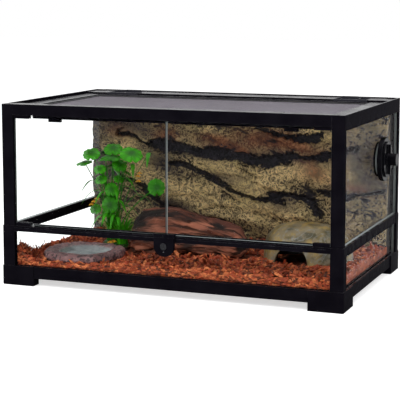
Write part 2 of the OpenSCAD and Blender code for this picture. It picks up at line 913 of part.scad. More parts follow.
module port_cap() {
    head_x = port_face + port_flange_t + 0.3;
    plug_x = port_face - glass_t - nut_t;
    knob_x = head_x + cap_head_t;
    placed() color(FRAME) union() {
        port_axis(plug_x) cylinder(r = port_bore, h = head_x - plug_x + cut);
        port_axis(head_x) cylinder(r = cap_head_r, h = cap_head_t);
        port_axis(knob_x - cut) cylinder(r = knob_r, h = knob_len + cut);
        block([knob_x - cut, port_y - 2, port_z - cap_head_r + 4],
              [knob_x + 4, port_y + 2, port_z + cap_head_r - 4]);
    }
}

// ---------------------------------------------------------------- landscape

// Share of a level resting place at a point: 1 on it and 0 past its margin
function on_pad(p, c, half) = let (d = norm([(p[0] - c[0]) / half[0], (p[1] - c[1]) / half[1]]))
    1 - smooth((d - 1) / 0.3);

// Distance from a point to the driftwood's line
function to_log(p) = let (v = log_to - log_from, t = clamp01((p - log_from) * v / (v * v)))
    norm(p - log_from - v * t);

// The ground falls a little to the back, with low lumps and a mound in the front left corner
function bark_slope(y) = mixed(bark_front, bark_back, (y - bed_y0) / (bed_y1 - bed_y0));
function bark_mound(p) = mound_h * exp(-pow((p[0] - mound_at[0]) / mound_half[0], 2)
    - pow((p[1] - mound_at[1]) / mound_half[1], 2));
function bark_lumps(p) = lump_h * sin(p[0] * 3.1 + 40 * sin(p[1] * 1.3)) * cos(p[1] * 3.7 + p[0] * 0.9);
function mixed(a, b, t) = a + (b - a) * t;
function bark_z(x, y) = let (p = [x, y], margin = [pad_margin, pad_margin],
    a = bark_slope(y) + bark_lumps(p) + bark_mound(p),
    b = mixed(a, hide_z, on_pad(p, hide_at, [hide_rx, hide_ry] + margin)),
    c = mixed(b, log_z, 1 - smooth((to_log(p) - log_r - pad_margin) / pad_fade)),
    d = mixed(c, plant_z, on_pad(p, plant_at, [plant_base_r, plant_base_r] + margin)),
    e = mixed(d, grass_z, on_pad(p, grass_at, [grass_base_r, grass_base_r] + margin)))
    mixed(e, dish_z, on_pad(p, dish_at, dish_half + margin));

// One row of the ground from left to right, closed underneath
function bark_ring(y) = concat(
    [[bed_x0, y, floor_top]], [[bed_x1, y, floor_top]],
    [for (i = [bed_cols : -1 : 0]) let (x = bed_x0 + (bed_x1 - bed_x0) * i / bed_cols)
        [x, y, bark_z(x, y)]]);

module bark_bedding() {
    placed() color([0.62, 0.31, 0.17])
        loft([for (j = [0 : bed_rows]) bark_ring(bed_y0 + (bed_y1 - bed_y0) * j / bed_rows)]);
}

// Strata that fall to the right, broken by ledges and hollows
function rock_height(x, z) = let (
    s = z + 0.20 * x + 14 * sin(x * 1.1 + 30) + 8 * sin(x * 2.3 + z),
    ledges = 0.5 + 0.5 * sin(s * 4.2),
    knobs = 0.5 + 0.5 * sin(x * 2.6 + 60 * sin(z * 1.7)) * cos(z * 2.1 + x * 0.7))
    rock_relief * smooth((z - rock_flat_z) / 22) * (0.62 * pow(ledges, 0.6) + 0.38 * knobs);

// One column of the rock, from its foot up its face and down its back
function rock_ring(x) = concat(
    [for (i = [0 : rock_rows]) let (z = floor_top + (rock_z1 - floor_top) * i / rock_rows)
        [x, rock_y0 - rock_height(x, z), z]],
    [[x, rock_y1, rock_z1], [x, rock_y1, floor_top]]);

module rock_background() {
    placed() color([0.45, 0.38, 0.30])
        loft([for (j = [0 : rock_cols]) rock_ring(rock_x0 + (rock_x1 - rock_x0) * j / rock_cols)]);
}

// Outline of the dish in shares of its half sizes
DISH_OUTLINE = [[-1, -0.35], [-0.7, -0.88], [-0.1, -1], [0.6, -0.9], [0.84, -0.6], [1, -0.1],
    [0.9, 0.56], [0.48, 0.92], [-0.1, 1], [-0.6, 0.92], [-0.88, 0.7], [-1, 0.3]];

function dish_ring(share, z) = [for (p = DISH_OUTLINE)
    [dish_at[0] + dish_half[0] * share * p[0], dish_at[1] + dish_half[1] * share * p[1], z]];

module water_dish() {
    z0 = dish_z + 0.2;
    top = z0 + dish_h;
    placed() color([0.45, 0.34, 0.34]) difference() {
        loft([dish_ring(0.9, z0), dish_ring(1, z0 + 5), dish_ring(0.98, top - 3), dish_ring(0.92, top)]);
        loft([dish_ring(0.42, z0 + 5), dish_ring(0.56, z0 + 7), dish_ring(0.64, top + cut)]);
    }
}

// The log tapers to its far end, bends a little and lies on a flat
function log_radius(t) = log_r * (t < 0.08 ? 0.72 + 3.5 * t : 1 - 0.42 * pow((t - 0.08) / 0.92, 1.6));
function log_ring(t) = let (
    v = log_to - log_from,
    dir = v / norm(v),
    side = [-dir[1], dir[0]],
    mid = log_from + v * t + side * 7 * sin(t * 180),
    r = log_radius(t))
    [for (a = [0 : 24 : 336]) let (
        k = r * (1 + 0.09 * sin(3 * a + 200 * t) + 0.05 * sin(5 * a - 400 * t)),
        w = k * 1.05 * cos(a),
        z = log_z + 0.2 + r * 0.92 + k * sin(a))
        [mid[0] + side[0] * w, mid[1] + side[1] * w, max(z, log_z + 0.2)]];

module driftwood() {
    placed() color([0.42, 0.24, 0.18])
        loft([for (i = [0 : 14]) log_ring(i / 14)]);
}

// A dome of stone; inset is how far it stands inside the outer skin
function dome_point(a, b, inset) = let (
    flat = pow(cos(b), 0.62),
    lump = 1 + (0.035 * sin(3 * a + 20) + 0.03 * sin(5 * a - 3 * b)) * flat)
    [hide_at[0] + (hide_rx - inset) * 0.93 * lump * flat * cos(a),
     hide_at[1] + (hide_ry - inset) * 0.93 * lump * flat * sin(a),
     hide_z + 0.2 + (hide_h - inset) * pow(sin(b), 0.85)];

module dome(inset, drop) {
    loft([for (b = [0, 12, 25, 38, 51, 64, 76, 85])
        [for (a = [0 : 12 : 348]) dome_point(a, b, inset) - [0, 0, b == 0 ? drop : 0]]]);
}

module cave_hide() {
    mouth_x = hide_at[0] - 8;
    arch_z = hide_z + mouth_h - mouth_w / 4;
    placed() color([0.42, 0.38, 0.22]) difference() {
        dome(0, 0);
        dome(hide_wall, cut);
        block([mouth_x - mouth_w / 2, hide_at[1] - hide_ry - 5, hide_z - cut],
              [mouth_x + mouth_w / 2, hide_at[1], arch_z]);
        translate([mouth_x, hide_at[1], arch_z]) rotate([90, 0, 0])
            scale([1, 0.5, 1]) cylinder(r = mouth_w / 2, h = hide_ry + 5);
    }
}

// A round stem through points, with six sides
function stem_ring(p, q, r) = let (
    d = (q - p) / norm(q - p),
    s = cross(d, [0, 1, 0.01]) / norm(cross(d, [0, 1, 0.01])),
    u = cross(s, d))
    [for (a = [0 : 60 : 300]) p + r * (s * cos(a) - u * sin(a))];

module stem(points, r0, r1) {
    last = len(points) - 1;
    loft([for (i = [0 : last]) let (
        a = i == last ? 2 * points[last] - points[last - 1] : points[i + 1])
        stem_ring(points[i], a, mixed(r0, r1, i / last))]);
}

module round_leaf(at, turn, tilt, r) {
    translate(at) rotate([0, tilt, turn]) translate([r - 0.5, 0, 0]) cylinder(r = r, h = 0.9, $fn = 10);
}

// How far a stem has bent out at a share of its height
function stem_point(i, t) = let (turn = i * 40 + 15, reach = 14 + 11 * (i % 4))
    [plant_at[0] + reach * pow(t, 1.7) * cos(turn),
     plant_at[1] + 0.7 * reach * pow(t, 1.7) * sin(turn),
     plant_z + 3 + (plant_h - 12 * (i % 3)) * t];

module leafy_plant() {
    placed() color([0.20, 0.62, 0.10]) union() {
        translate([plant_at[0], plant_at[1], plant_z + 0.2]) cylinder(r = plant_base_r, h = 5, $fn = 12);
        for (i = [0 : 8]) {
            stem([for (t = [0, 0.35, 0.7, 1]) stem_point(i, t)], 1.6, 1.1);
            for (k = [0 : 4])
                round_leaf(stem_point(i, 1 - 0.085 * k), i * 40 + k * 137, 12 + 9 * (k % 3), leaf_r - 0.5 * (k % 3));
        }
        stem([for (t = [0, 0.4, 0.75, 1]) [plant_at[0] + 75 * t * t, plant_at[1] - 12 * t, plant_z + 3 + 92 * t]],
             1.4, 1.0);
        round_leaf([plant_at[0] + 74, plant_at[1] - 12, plant_z + 94], -20, 20, leaf_r + 1);
    }
}

module grassy_plant() {
    placed() color([0.25, 0.58, 0.12]) union() {
        translate([grass_at[0], grass_at[1], grass_z + 0.2]) cylinder(r = grass_base_r, h = 5, $fn = 12);
        for (i = [0 : 17]) let (turn = i * 137.5, reach = 6 + 3 * (i % 5), h = grass_h - 6 * (i % 4))
            stem([for (t = [0, 0.4, 0.75, 1]) [grass_at[0] + (3 + reach * t * t) * cos(turn),
                grass_at[1] + (3 + reach * t * t) * sin(turn), grass_z + 3 + h * (t - 0.22 * t * t)]],
                2.0, 0.4);
    }
}

floor_glass();
base_rail_front();
base_rail_back();
base_rail_left();
base_rail_right();
foot_front_left();
foot_front_right();
foot_back_left();
foot_back_right();
lower_post_front_left();
lower_post_front_right();
lower_post_back_left();
lower_post_back_right();
upper_post_front_left();
upper_post_front_right();
upper_post_back_left();
upper_post_back_right();
sill_bar();
side_bar_left();
side_bar_right();
top_rail_front();
top_rail_back();
top_rail_left();
top_rail_right();
lower_pane_front();
lower_pane_left();
lower_pane_right();
upper_pane_left();
upper_pane_right();
back_pane();
back_strip();
cable_inlet_left();
cable_inlet_right();
port_flange();
port_nut();
lock_body();
rock_background();
bark_bedding();
water_dish();
driftwood();
cave_hide();
leafy_plant();
grassy_plant();
door_glass_left();
hinge_clips_left();
door_catch_left();
door_glass_right();
hinge_clips_right();
door_catch_right();
lock_cylinder();
lock_cam();
screen_frame();
screen_mesh();
screen_spline();
screen_latch_left();
screen_latch_right();
cable_gate_left();
cable_gate_right();
port_cap();
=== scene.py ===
"""Looks of a front opening glass terrarium: a satin black frame, glass panes, lock, screen cover,
cable inlets and service port, and inside them painted rock, bark chips, stone, driftwood and plants.

Sizes are in millimetres from the frame's outer front left corner, as in the part's source,
and to_row() takes them to metres in the row frame when a mesh is made.
"""

from __future__ import annotations

import json
import logging
import math
from dataclasses import dataclass, field
from enum import Enum
from typing import Any, Callable, Iterable, Sequence

import bmesh
import bpy
import numpy as np
from mathutils import Euler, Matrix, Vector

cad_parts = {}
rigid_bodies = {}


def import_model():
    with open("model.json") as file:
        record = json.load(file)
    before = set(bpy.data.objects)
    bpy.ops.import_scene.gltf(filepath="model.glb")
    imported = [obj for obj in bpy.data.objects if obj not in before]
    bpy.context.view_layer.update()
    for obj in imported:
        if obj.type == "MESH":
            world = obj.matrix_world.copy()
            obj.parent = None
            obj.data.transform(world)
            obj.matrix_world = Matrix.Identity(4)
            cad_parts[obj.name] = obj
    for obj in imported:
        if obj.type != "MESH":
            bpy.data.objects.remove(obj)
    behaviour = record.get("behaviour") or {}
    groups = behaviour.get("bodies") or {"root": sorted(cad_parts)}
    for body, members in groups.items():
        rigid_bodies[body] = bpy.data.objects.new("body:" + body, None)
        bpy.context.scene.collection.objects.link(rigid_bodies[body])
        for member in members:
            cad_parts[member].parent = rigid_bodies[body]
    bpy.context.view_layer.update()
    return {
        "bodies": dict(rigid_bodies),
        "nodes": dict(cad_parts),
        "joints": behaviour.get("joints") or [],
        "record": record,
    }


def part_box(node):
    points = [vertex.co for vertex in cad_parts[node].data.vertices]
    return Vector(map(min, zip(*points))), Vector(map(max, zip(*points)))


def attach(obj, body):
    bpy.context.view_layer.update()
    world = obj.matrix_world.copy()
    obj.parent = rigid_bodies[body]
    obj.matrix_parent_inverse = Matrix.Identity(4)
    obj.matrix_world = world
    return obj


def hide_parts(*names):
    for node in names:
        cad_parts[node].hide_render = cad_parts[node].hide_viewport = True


LOG = logging.getLogger("terrarium")
MM = 0.001
CORNER = np.array([-264.2, -156.35, 0.0])
FULL_TURN = 2 * math.pi
# How far the dish, log and hide stand above the level places made for them, in millimetres
SEAT = 0.2
SIDES = ("left", "right")

Array = np.ndarray
Rgb = tuple[float, float, float]
Node = bpy.types.Node
Socket = bpy.types.NodeSocket


class Body(Enum):
    """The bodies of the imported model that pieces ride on."""

    TANK = "tank"
    DOOR_LEFT = "door_left"
    DOOR_RIGHT = "door_right"
    LOCK_KEY = "lock_key"
    SCREEN_COVER = "screen_cover"
    LATCH_LEFT = "latch_left"
    LATCH_RIGHT = "latch_right"
    GATE_LEFT = "gate_left"
    GATE_RIGHT = "gate_right"
    PORT_LID = "port_lid"


# ------------------------------------------------------------------ surfaces


def to_row(points: Array) -> Array:
    """Corner coordinates in millimetres to row coordinates in metres: shift, then scale."""
    return (points + CORNER) * MM


def ease(t: Array) -> Array:
    """Eases from 0 to 1: three times the square less twice the cube, with t held to 0..1."""
    held = np.clip(t, 0.0, 1.0)
    return held * held * (3 - 2 * held)


def blend(a: Any, b: Any, share: Any) -> Any:
    """The value that lies the given share of the way from a to b."""
    return a + (b - a) * share


def xyz(x: Any, y: Any, z: Any) -> Array:
    """Points (..., 3) from three coordinates, each spread over the others' shape."""
    return np.stack(np.broadcast_arrays(x, y, z), -1)


def grid(u: Array, v: Array) -> Sequence[Array]:
    """Two values over a grid, the first along its rows and the second along its columns."""
    return np.meshgrid(u, v, indexing="ij")


def turns(count: int) -> Array:
    """Even directions round a full turn, in radians."""
    return np.arange(count) * FULL_TURN / count


def from_line(x: Array, y: Array, start: Sequence[float], end: Sequence[float]) -> Array:
    """Distance to a straight line: to its nearest point, held between its ends.

    Args:
        x: First coordinate of each place.
        y: Second coordinate of each place.
        start: The line's start.
        end: The line's end.

    Returns:
        The distance at each place.
    """
    (x0, y0), (x1, y1) = start, end
    run, rise = x1 - x0, y1 - y0
    share = np.clip(((x - x0) * run + (y - y0) * rise) / (run**2 + rise**2), 0, 1)
    return np.hypot(x - x0 - share * run, y - y0 - share * rise)


@dataclass
class Surface:
    """One mesh as whole arrays: points (n, 3), faces by corner count, and values at the points."""

    points: Array
    faces: list[Array]
    values: dict[str, Array] = field(default_factory=dict)

    def outward(self) -> Surface:
        """Turns the faces round if the signed volume, the sum of the faces' fans, is negative.

        Returns:
            The surface itself.
        """
        middle = self.points - self.points.mean(axis=0)
        volume = 0.0
        for group in self.faces:
            first = middle[group[:, 0]]
            for k in range(1, group.shape[1] - 1):
                fan = np.cross(middle[group[:, k]], middle[group[:, k + 1]])
                volume += float(np.einsum("ij,ij->", first, fan))
        if volume < 0:
            self.faces = [group[:, ::-1] for group in self.faces]
        return self

    def with_values(self, **values: float) -> Surface:
        """Gives every point the same value under each name, such as a chip's tone.

        Args:
            **values: The value by its name.

        Returns:
            The surface itself.
        """
        for name, value in values.items():
            self.values[name] = np.full(len(self.points), float(value))
        return self


def joined(parts: Sequence[Surface]) -> Surface:
    """Puts surfaces into one, shifting each face's numbers by the points before it.

    Args:
        parts: Surfaces with the same named values.

    Returns:
        One surface that holds them all.
    """
    starts = np.cumsum([0] + [len(p.points) for p in parts])
    by_size: dict[int, list[Array]] = {}
    for part, start in zip(parts, starts):
        for group in part.faces:
            by_size.setdefault(group.shape[1], []).append(group + start)
    values = {k: np.concatenate([p.values[k] for p in parts]) for k in parts[0].values}
    faces = [np.concatenate(groups) for groups in by_size.values()]
    return Surface(np.concatenate([p.points for p in parts]), faces, values)


def grid_faces(rows: int, cols: int, rows_meet: bool = False, cols_meet: bool = True) -> Array:
    """Quads between neighbouring rows and columns of a grid of points.

    Args:
        rows: Number of rows.
        cols: Number of points in a row.
        rows_meet: Whether the last row meets the first.
        cols_meet: Whether the last column meets the first.

    Returns:
        The quads' point numbers, (n, 4).
    """
    i, j = grid(np.arange(rows - (not rows_meet)), np.arange(cols - (not cols_meet)))
    row, next_row = i * cols, (i + 1) % rows * cols
    k = (j + 1) % cols
    return np.stack([row + j, row + k, next_row + k, next_row + j], -1).reshape(-1, 4)


def poled(rings: Array, **values: Array) -> Surface:
    """Closed surface through rings of points, with a pole in the middle of each end ring.

    Args:
        rings: Points as (rings, points per ring, 3).
        **values: Values at the points as (rings, points per ring), or one per ring.

    Returns:
        The surface, its faces turned outwards.
    """
    rows, cols = rings.shape[:2]
    count = rows * cols

    def capped(value: Array) -> Array:
        """The rings' values in one row, and then the mean of each end ring.

        Args:
            value: Values that fit (rings, points per ring).

        Returns:
            The values of the rings' points and of the two end points.
        """
        spread = np.broadcast_to(value, (rows, cols) + value.shape[2:])
        flat = spread.reshape((count,) + value.shape[2:])
        return np.concatenate([flat, spread[[0, -1]].mean(axis=1)])

    here = np.arange(cols)
    after = (here + 1) % cols
    last = count - cols
    ends = [xyz(after, here, count), xyz(last + here, last + after, count + 1)]
    kept = {name: capped(value) for name, value in values.items()}
    return Surface(capped(rings), [grid_faces(rows, cols), np.concatenate(ends)], kept).outward()


def lofted(rings: Array, **values: Array) -> Surface:
    """Closed surface through open profiles that each run round a section, with flat ends.

    Args:
        rings: Points as (sections, points per section, 3).
        **values: Values at the points as (sections, points per section).

    Returns:
        The surface, its faces turned outwards.
    """
    rows, cols = rings.shape[:2]
    ends = np.stack([np.arange(cols)[::-1], (rows - 1) * cols + np.arange(cols)])
    kept = {name: value.reshape(rows * cols) for name, value in values.items()}
    return Surface(rings.reshape(-1, 3), [grid_faces(rows, cols), ends], kept).outward()


def bars(low: Array, high: Array) -> Surface:
    """Straight bars between pairs of opposite corners, eight points and six faces each.

    Args:
        low: Each bar's low corner, (n, 3).
        high: Each bar's high corner, (n, 3).

    Returns:
        All the bars as one surface.
    """
    flat = [(0, 0), (1, 0), (1, 1), (0, 1)]
    pick = np.array([(x, y, z) for z in (0, 1) for x, y in flat])
    points = np.where(pick[None] == 1, high[:, None], low[:, None]).reshape(-1, 3)
    sides = [[k, (k + 1) % 4, 4 + (k + 1) % 4, 4 + k] for k in range(4)]
    box = np.array([[0, 3, 2, 1], [4, 5, 6, 7], *sides])
    faces = (box[None] + 8 * np.arange(len(low))[:, None, None]).reshape(-1, 4)
    return Surface(points, [faces])


def tube(path: Array, radius: Array | float, sides: int, flat: float = 1.0) -> Surface:
    """Tube round a path: each ring is a circle across the path's direction at that point.

    Args:
        path: Points of the centreline, (n, 3).
        radius: Radius at each point, or one for all.
        sides: Points in a ring.
        flat: Height of a ring as a share of its width.

    Returns:
        A closed surface with a pole at each end.
    """
    ahead = np.gradient(path, axis=0)
    ahead /= np.linalg.norm(ahead, axis=1, keepdims=True)
    side = np.cross(ahead, np.array([0.05, 0.12, 1.0]))
    side /= np.linalg.norm(side, axis=1, keepdims=True)
    up = np.cross(side, ahead)
    turn = turns(sides)
    wide = np.broadcast_to(np.asarray(radius, float), (len(path),))[:, None, None]
    ring = side[:, None] * np.cos(turn)[None, :, None] + flat * up[:, None] * np.sin(turn)[None, :, None]
    return poled(path[:, None] + wide * ring)


class Noise:
    """Smooth seeded noise over whole arrays of points."""

    SIZE = 32

    def __init__(self, seed: int) -> None:
        """Fills the cube of random values that the noise blends between."""
        self.table = np.random.default_rng(seed).random((self.SIZE,) * 3)

    def value(self, points: Array) -> Array:
        """Noise from 0 to 1: a point's eight cube corners, weighted by eased distances.

        Args:
            points: Places, (..., 3), a cube's side apart at whole numbers.

        Returns:
            The noise at each place.
        """
        cell = np.floor(points).astype(int)
        share = ease(points - cell)
        total = np.zeros(points.shape[:-1])
        for corner in np.ndindex(2, 2, 2):
            near = (cell + np.array(corner)) % self.SIZE
            weight = np.prod(np.where(np.array(corner) == 1, share, 1 - share), axis=-1)
            total += weight * self.table[near[..., 0], near[..., 1], near[..., 2]]
        return total

    def layers(self, points: Array, count: int) -> Array:
        """Layers of noise, each twice as fine and half as strong as the one before, from 0 to 1."""
        parts = [0.5**k * self.value(points * 2**k + 7.3 * k) for k in range(count)]
        return sum(parts) / (2 - 0.5 ** (count - 1))

    def ridges(self, points: Array, count: int) -> Array:
        """Layers of sharp ridges: 1 less twice each layer's distance from its middle value."""
        parts = [0.5**k * (1 - np.abs(2 * self.value(points * 2**k + 3.1 * k) - 1)) for k in range(count)]
        return sum(parts) / (2 - 0.5 ** (count - 1))


# ------------------------------------------------------------ shader sketches


class Sketch:
    """Adds nodes to one node tree; inputs take a number, a colour or another node's socket."""

    def __init__(self, tree: bpy.types.NodeTree) -> None:
        """Keeps the tree that the nodes go to."""
        self.tree = tree

    def put(self, socket: Socket, value: Any) -> None:
        """Links a socket or sets it to a constant.

        Args:
            socket: The input to feed.
            value: Another node's socket, a number, or a colour, which gets a full alpha.
        """
        if isinstance(value, Socket):
            self.tree.links.new(value, socket)
        else:
            socket.default_value = (*value, 1.0) if socket.type == "RGBA" else value

    def feed(self, node: Node, **inputs: Any) -> None:
        """Feeds a node's inputs by name, where an underscore stands for a space."""
        for name, value in inputs.items():
            self.put(node.inputs[name.replace("_", " ")], value)

    def add(self, kind: str, inputs: dict[Any, Any] | None = None, **settings: Any) -> Node:
        """Adds one node.

        Args:
            kind: The node's type name after "ShaderNode".
            inputs: Values or sockets by the input's name or number.
            **settings: The node's own properties.

        Returns:
            The node.
        """
        node = self.tree.nodes.new("ShaderNode" + kind)
        for name, value in settings.items():
            setattr(node, name, value)
        for name, value in (inputs or {}).items():
            self.put(node.inputs[name], value)
        return node

    def math(self, operation: str, *values: Any) -> Socket:
        """One step of arithmetic on one, two or three values."""
        return self.add("Math", dict(enumerate(values)), operation=operation).outputs[0]

    def times(self, a: Any, b: Any) -> Socket:
        """The product of two values."""
        return self.math("MULTIPLY", a, b)

    def span(self, value: Any, low: Any, high: Any, start: float = 0.0, end: float = 1.0) -> Socket:
        """Takes low..high to start..end with an eased ramp that is held at both ends."""
        inputs = {"Value": value, "From Min": low, "From Max": high, "To Min": start, "To Max": end}
        return self.add("MapRange", inputs, interpolation_type="SMOOTHSTEP").outputs["Result"]

    def mix(self, share: Any, a: Any, b: Any) -> Socket:
        """Mixes two colours."""
        return self.add("Mix", {0: share, 6: a, 7: b}, data_type="RGBA").outputs[2]

    def value(self, name: str) -> Socket:
        """A value that the mesh carries at its points."""
        return self.add("Attribute", attribute_name=name).outputs["Fac"]

    def facing_up(self) -> Socket:
        """How far a face looks up: the Z of its normal."""
        return self.add("SeparateXYZ", {0: self.add("NewGeometry").outputs["Normal"]}).outputs["Z"]

    def seen(self) -> Socket:
        """1 for camera, mirror and glass rays, and 0 for the light that a surface gathers.

        Returns:
            The output.
        """
        ray = self.add("LightPath").outputs
        seen = self.math("MAXIMUM", ray["Is Camera Ray"], ray["Is Transmission Ray"])
        return self.math("MAXIMUM", seen, ray["Is Glossy Ray"])

    def place(self, stretch: Sequence[float] = (1, 1, 1), name: str | None = None) -> Socket:
        """Object coordinates, or a vector that the mesh carries, stretched along its axes.

        Args:
            stretch: Factor along each axis.
            name: Name of the mesh's vector, if any.

        Returns:
            The place to draw a pattern on.
        """
        if name:
            source = self.add("Attribute", attribute_name=name).outputs["Vector"]
        else:
            source = self.add("TexCoord").outputs["Object"]
        return self.add("Mapping", {"Vector": source, "Scale": tuple(stretch)}).outputs["Vector"]

    def noise(self, where: Any, scale: Any, detail: float = 4.0, twist: Any = 0.0) -> Socket:
        """Noise at a number of features per metre."""
        inputs = {"Vector": where, "Scale": scale, "Detail": detail, "Distortion": twist}
        return self.add("TexNoise", inputs).outputs[0]

    def effect(self, effect: Effect, where: Any, **inputs: Any) -> Socket:
        """Places a shared effect.

        Args:
            effect: The effect.
            where: The place that it is drawn on.
            **inputs: Its other inputs.

        Returns:
            Its output.
        """
        node = self.add("Group", node_tree=effect.tree())
        self.feed(node, Place=where, **inputs)
        return node.outputs[0]

    def bump(self, height: Any, depth: float, strength: float) -> Socket:
        """A normal bent by a height of the given depth in metres."""
        return self.add("Bump", {"Height": height, "Distance": depth, "Strength": strength}).outputs["Normal"]


@dataclass(frozen=True)
class Effect:
    """An effect that several finishes share: a node group with one output, built once.

    Attributes:
        name: The group's name.
        output: Name of the value that it puts out.
        inputs: Starting value of each number that it takes besides its Place.
        draw: Lays out its nodes from a sketch and the group's inputs.
    """

    name: str
    output: str
    inputs: dict[str, float]
    draw: Callable[[Sketch, Any], Socket]

    def tree(self) -> bpy.types.NodeTree:
        """The node group, built at its first use.

        Returns:
            The group's tree.
        """
        if self.name in bpy.data.node_groups:
            return bpy.data.node_groups[self.name]
        tree = bpy.data.node_groups.new(self.name, "ShaderNodeTree")
        tree.interface.new_socket("Place", in_out="INPUT", socket_type="NodeSocketVector")
        for label, start in self.inputs.items():
            socket = tree.interface.new_socket(label, in_out="INPUT", socket_type="NodeSocketFloat")
            socket.default_value = start
        tree.interface.new_socket(self.output, in_out="OUTPUT", socket_type="NodeSocketFloat")
        given = tree.nodes.new("NodeGroupInput").outputs
        result = tree.nodes.new("NodeGroupOutput").inputs[0]
        sketch = Sketch(tree)
        sketch.put(result, self.draw(sketch, given))
        return tree


def draw_edge_wear(sketch: Sketch, given: Any) -> Socket:
    """Mask on rubbed edges: where a rounded normal leaves the flat one, broken up by noise. The moulded
    plastic also paints a highlight along its edges with it.

    Args:
        sketch: Adds nodes to the group.
        given: The group's inputs, by name.

    Returns:
        The mask.
    """
    rounded = sketch.add("Bevel", {"Radius": given["Width"]}, samples=4).outputs["Normal"]
    flat = sketch.add("NewGeometry").outputs["Normal"]
    same = sketch.add("VectorMath", {0: rounded, 1: flat}, operation="DOT_PRODUCT").outputs["Value"]
    edge = sketch.times(sketch.math("SUBTRACT", 1.0, same), given["Gain"])
    broken = sketch.span(sketch.noise(given["Place"], 160, 5), 0.35, 0.62)
    return sketch.times(sketch.span(edge, 0.0, 1.0), broken)


def draw_mottle(sketch: Sketch, given: Any) -> Socket:
    """Soft patches from 0 to 1 at a chosen number to the metre.

    Args:
        sketch: Adds nodes to the group.
        given: The group's inputs, by name.

    Returns:
        The patches.
    """
    cloud = sketch.noise(given["Place"], given["Scale"], 5.0)
    low, high = (sketch.math("MULTIPLY_ADD", given["Sharpness"], sign * 0.25, 0.5) for sign in (-1, 1))
    return sketch.span(cloud, low, high)


def draw_fibres(sketch: Sketch, given: Any) -> Socket:
    """Thin curling lines: where twisted noise passes its middle value.

    Args:
        sketch: Adds nodes to the group.
        given: The group's inputs, by name.

    Returns:
        The mask.
    """
    cloud = sketch.noise(given["Place"], given["Scale"], 2.0, given["Twist"])
    away = sketch.math("ABSOLUTE", sketch.math("SUBTRACT", cloud, 0.5))
    near = sketch.math("SUBTRACT", 1.0, sketch.math("DIVIDE", away, given["Width"]))
    return sketch.span(near, 0.1, 0.75)


def draw_dust(sketch: Sketch, given: Any) -> Socket:
    """Mask of settled dust: faces that look up, in patches. The moulded plastic also paints a sheen on its
    tops with it.

    Args:
        sketch: Adds nodes to the group.
        given: The group's inputs, by name.

    Returns:
        The mask.
    """
    up = sketch.span(sketch.facing_up(), 0.4, 1.0)
    patches = sketch.span(sketch.noise(given["Place"], 45, 6), 0.3, 0.75)
    return sketch.times(up, sketch.times(given["Amount"], patches))


EDGE_WEAR_AND_HIGHLIGHT = Effect("edge_wear_and_highlight", "Mask", {"Width": 0.0008, "Gain": 4.0}, draw_edge_wear)
MOTTLE = Effect("mottle", "Value", {"Scale": 60.0, "Sharpness": 0.3}, draw_mottle)
FIBRES = Effect("fibres", "Mask", {"Scale": 200.0, "Width": 0.05, "Twist": 1.5}, draw_fibres)
DUST = Effect("dust", "Mask", {"Amount": 0.2}, draw_dust)


# ------------------------------------------------------------------- finishes


def scaled(colour: Rgb, factor: float, lift: float = 0.0) -> Rgb:
    """A colour times a factor, plus a little."""
    return tuple(factor * c + lift for c in colour)


@dataclass(frozen=True)
class Finish:
    """One finish: the material's name, and paint(), which lays out its nodes."""

    name: str

    def paint(self, sketch: Sketch, shader: Node) -> None:
        """Feeds the shader; each finish has its own.

        Args:
            sketch: Adds nodes to the material.
            shader: The material's Principled BSDF.
        """
        raise NotImplementedError

    def material(self) -> bpy.types.Material:
        """The material, built at its first use.

        Returns:
            The Blender material.
        """
        if self.name in bpy.data.materials:
            return bpy.data.materials[self.name]
        material = bpy.data.materials.new(self.name)
        material.use_nodes = True
        self.paint(Sketch(material.node_tree), material.node_tree.nodes["Principled BSDF"])
        return material


@dataclass(frozen=True)
class MouldedPlastic(Finish):
    """Satin moulded plastic: a fine skin, rubbed edges that are also a painted edge highlight, a little dust
    that is also a painted sheen on its tops, and more gloss on its tops.
    """

    colour: Rgb
    # Colour of the rubbed edges: wear, and a painted highlight along the edges
    worn_and_highlight: Rgb = (0.130, 0.125, 0.140)
    # Lilac colour of the dust, which also stands as a painted sheen on faces that look up
    dust_and_sheen: Rgb = (0.42, 0.38, 0.44)
    roughness: float = 0.24
    specular: float = 0.0005
    top_specular: float = 0.08
    # How much dust, and with it painted sheen, the faces that look up take
    dust: float = 0.05

    def paint(self, sketch: Sketch, shader: Node) -> None:
        """Colour from patches, from edge wear that is also a painted highlight, and from dust that is also a
        painted sheen on faces that look up; gloss by how far a face looks up; skin as bump.

        Args:
            sketch: Adds nodes to the material.
            shader: The material's Principled BSDF.
        """
        where = sketch.place()
        patches = sketch.effect(MOTTLE, where, Scale=38.0, Sharpness=0.9)
        wear = sketch.effect(EDGE_WEAR_AND_HIGHLIGHT, where, Width=0.0007, Gain=5.0)
        dust = sketch.effect(DUST, where, Amount=self.dust)
        base = sketch.mix(patches, self.colour, scaled(self.colour, 1.35, 0.001))
        # Painted highlight: the rubbed edges take a lighter colour, as wear and as edge highlight
        base = sketch.mix(sketch.times(wear, 0.45), base, self.worn_and_highlight)
        # Dust and painted sheen: faces that look up take the lilac colour in patches
        base = sketch.mix(dust, base, self.dust_and_sheen)
        rough = sketch.span(patches, 0, 1, self.roughness - 0.05, self.roughness + 0.07)
        skin = sketch.bump(sketch.noise(where, 1600, 3), 0.00006, 0.35)
        top = max(self.specular, self.top_specular)
        gloss = sketch.span(sketch.facing_up(), 0.7, 1.0, self.specular, top)
        sketch.feed(shader, Base_Color=base, Roughness=rough, Normal=skin, Specular_IOR_Level=gloss)


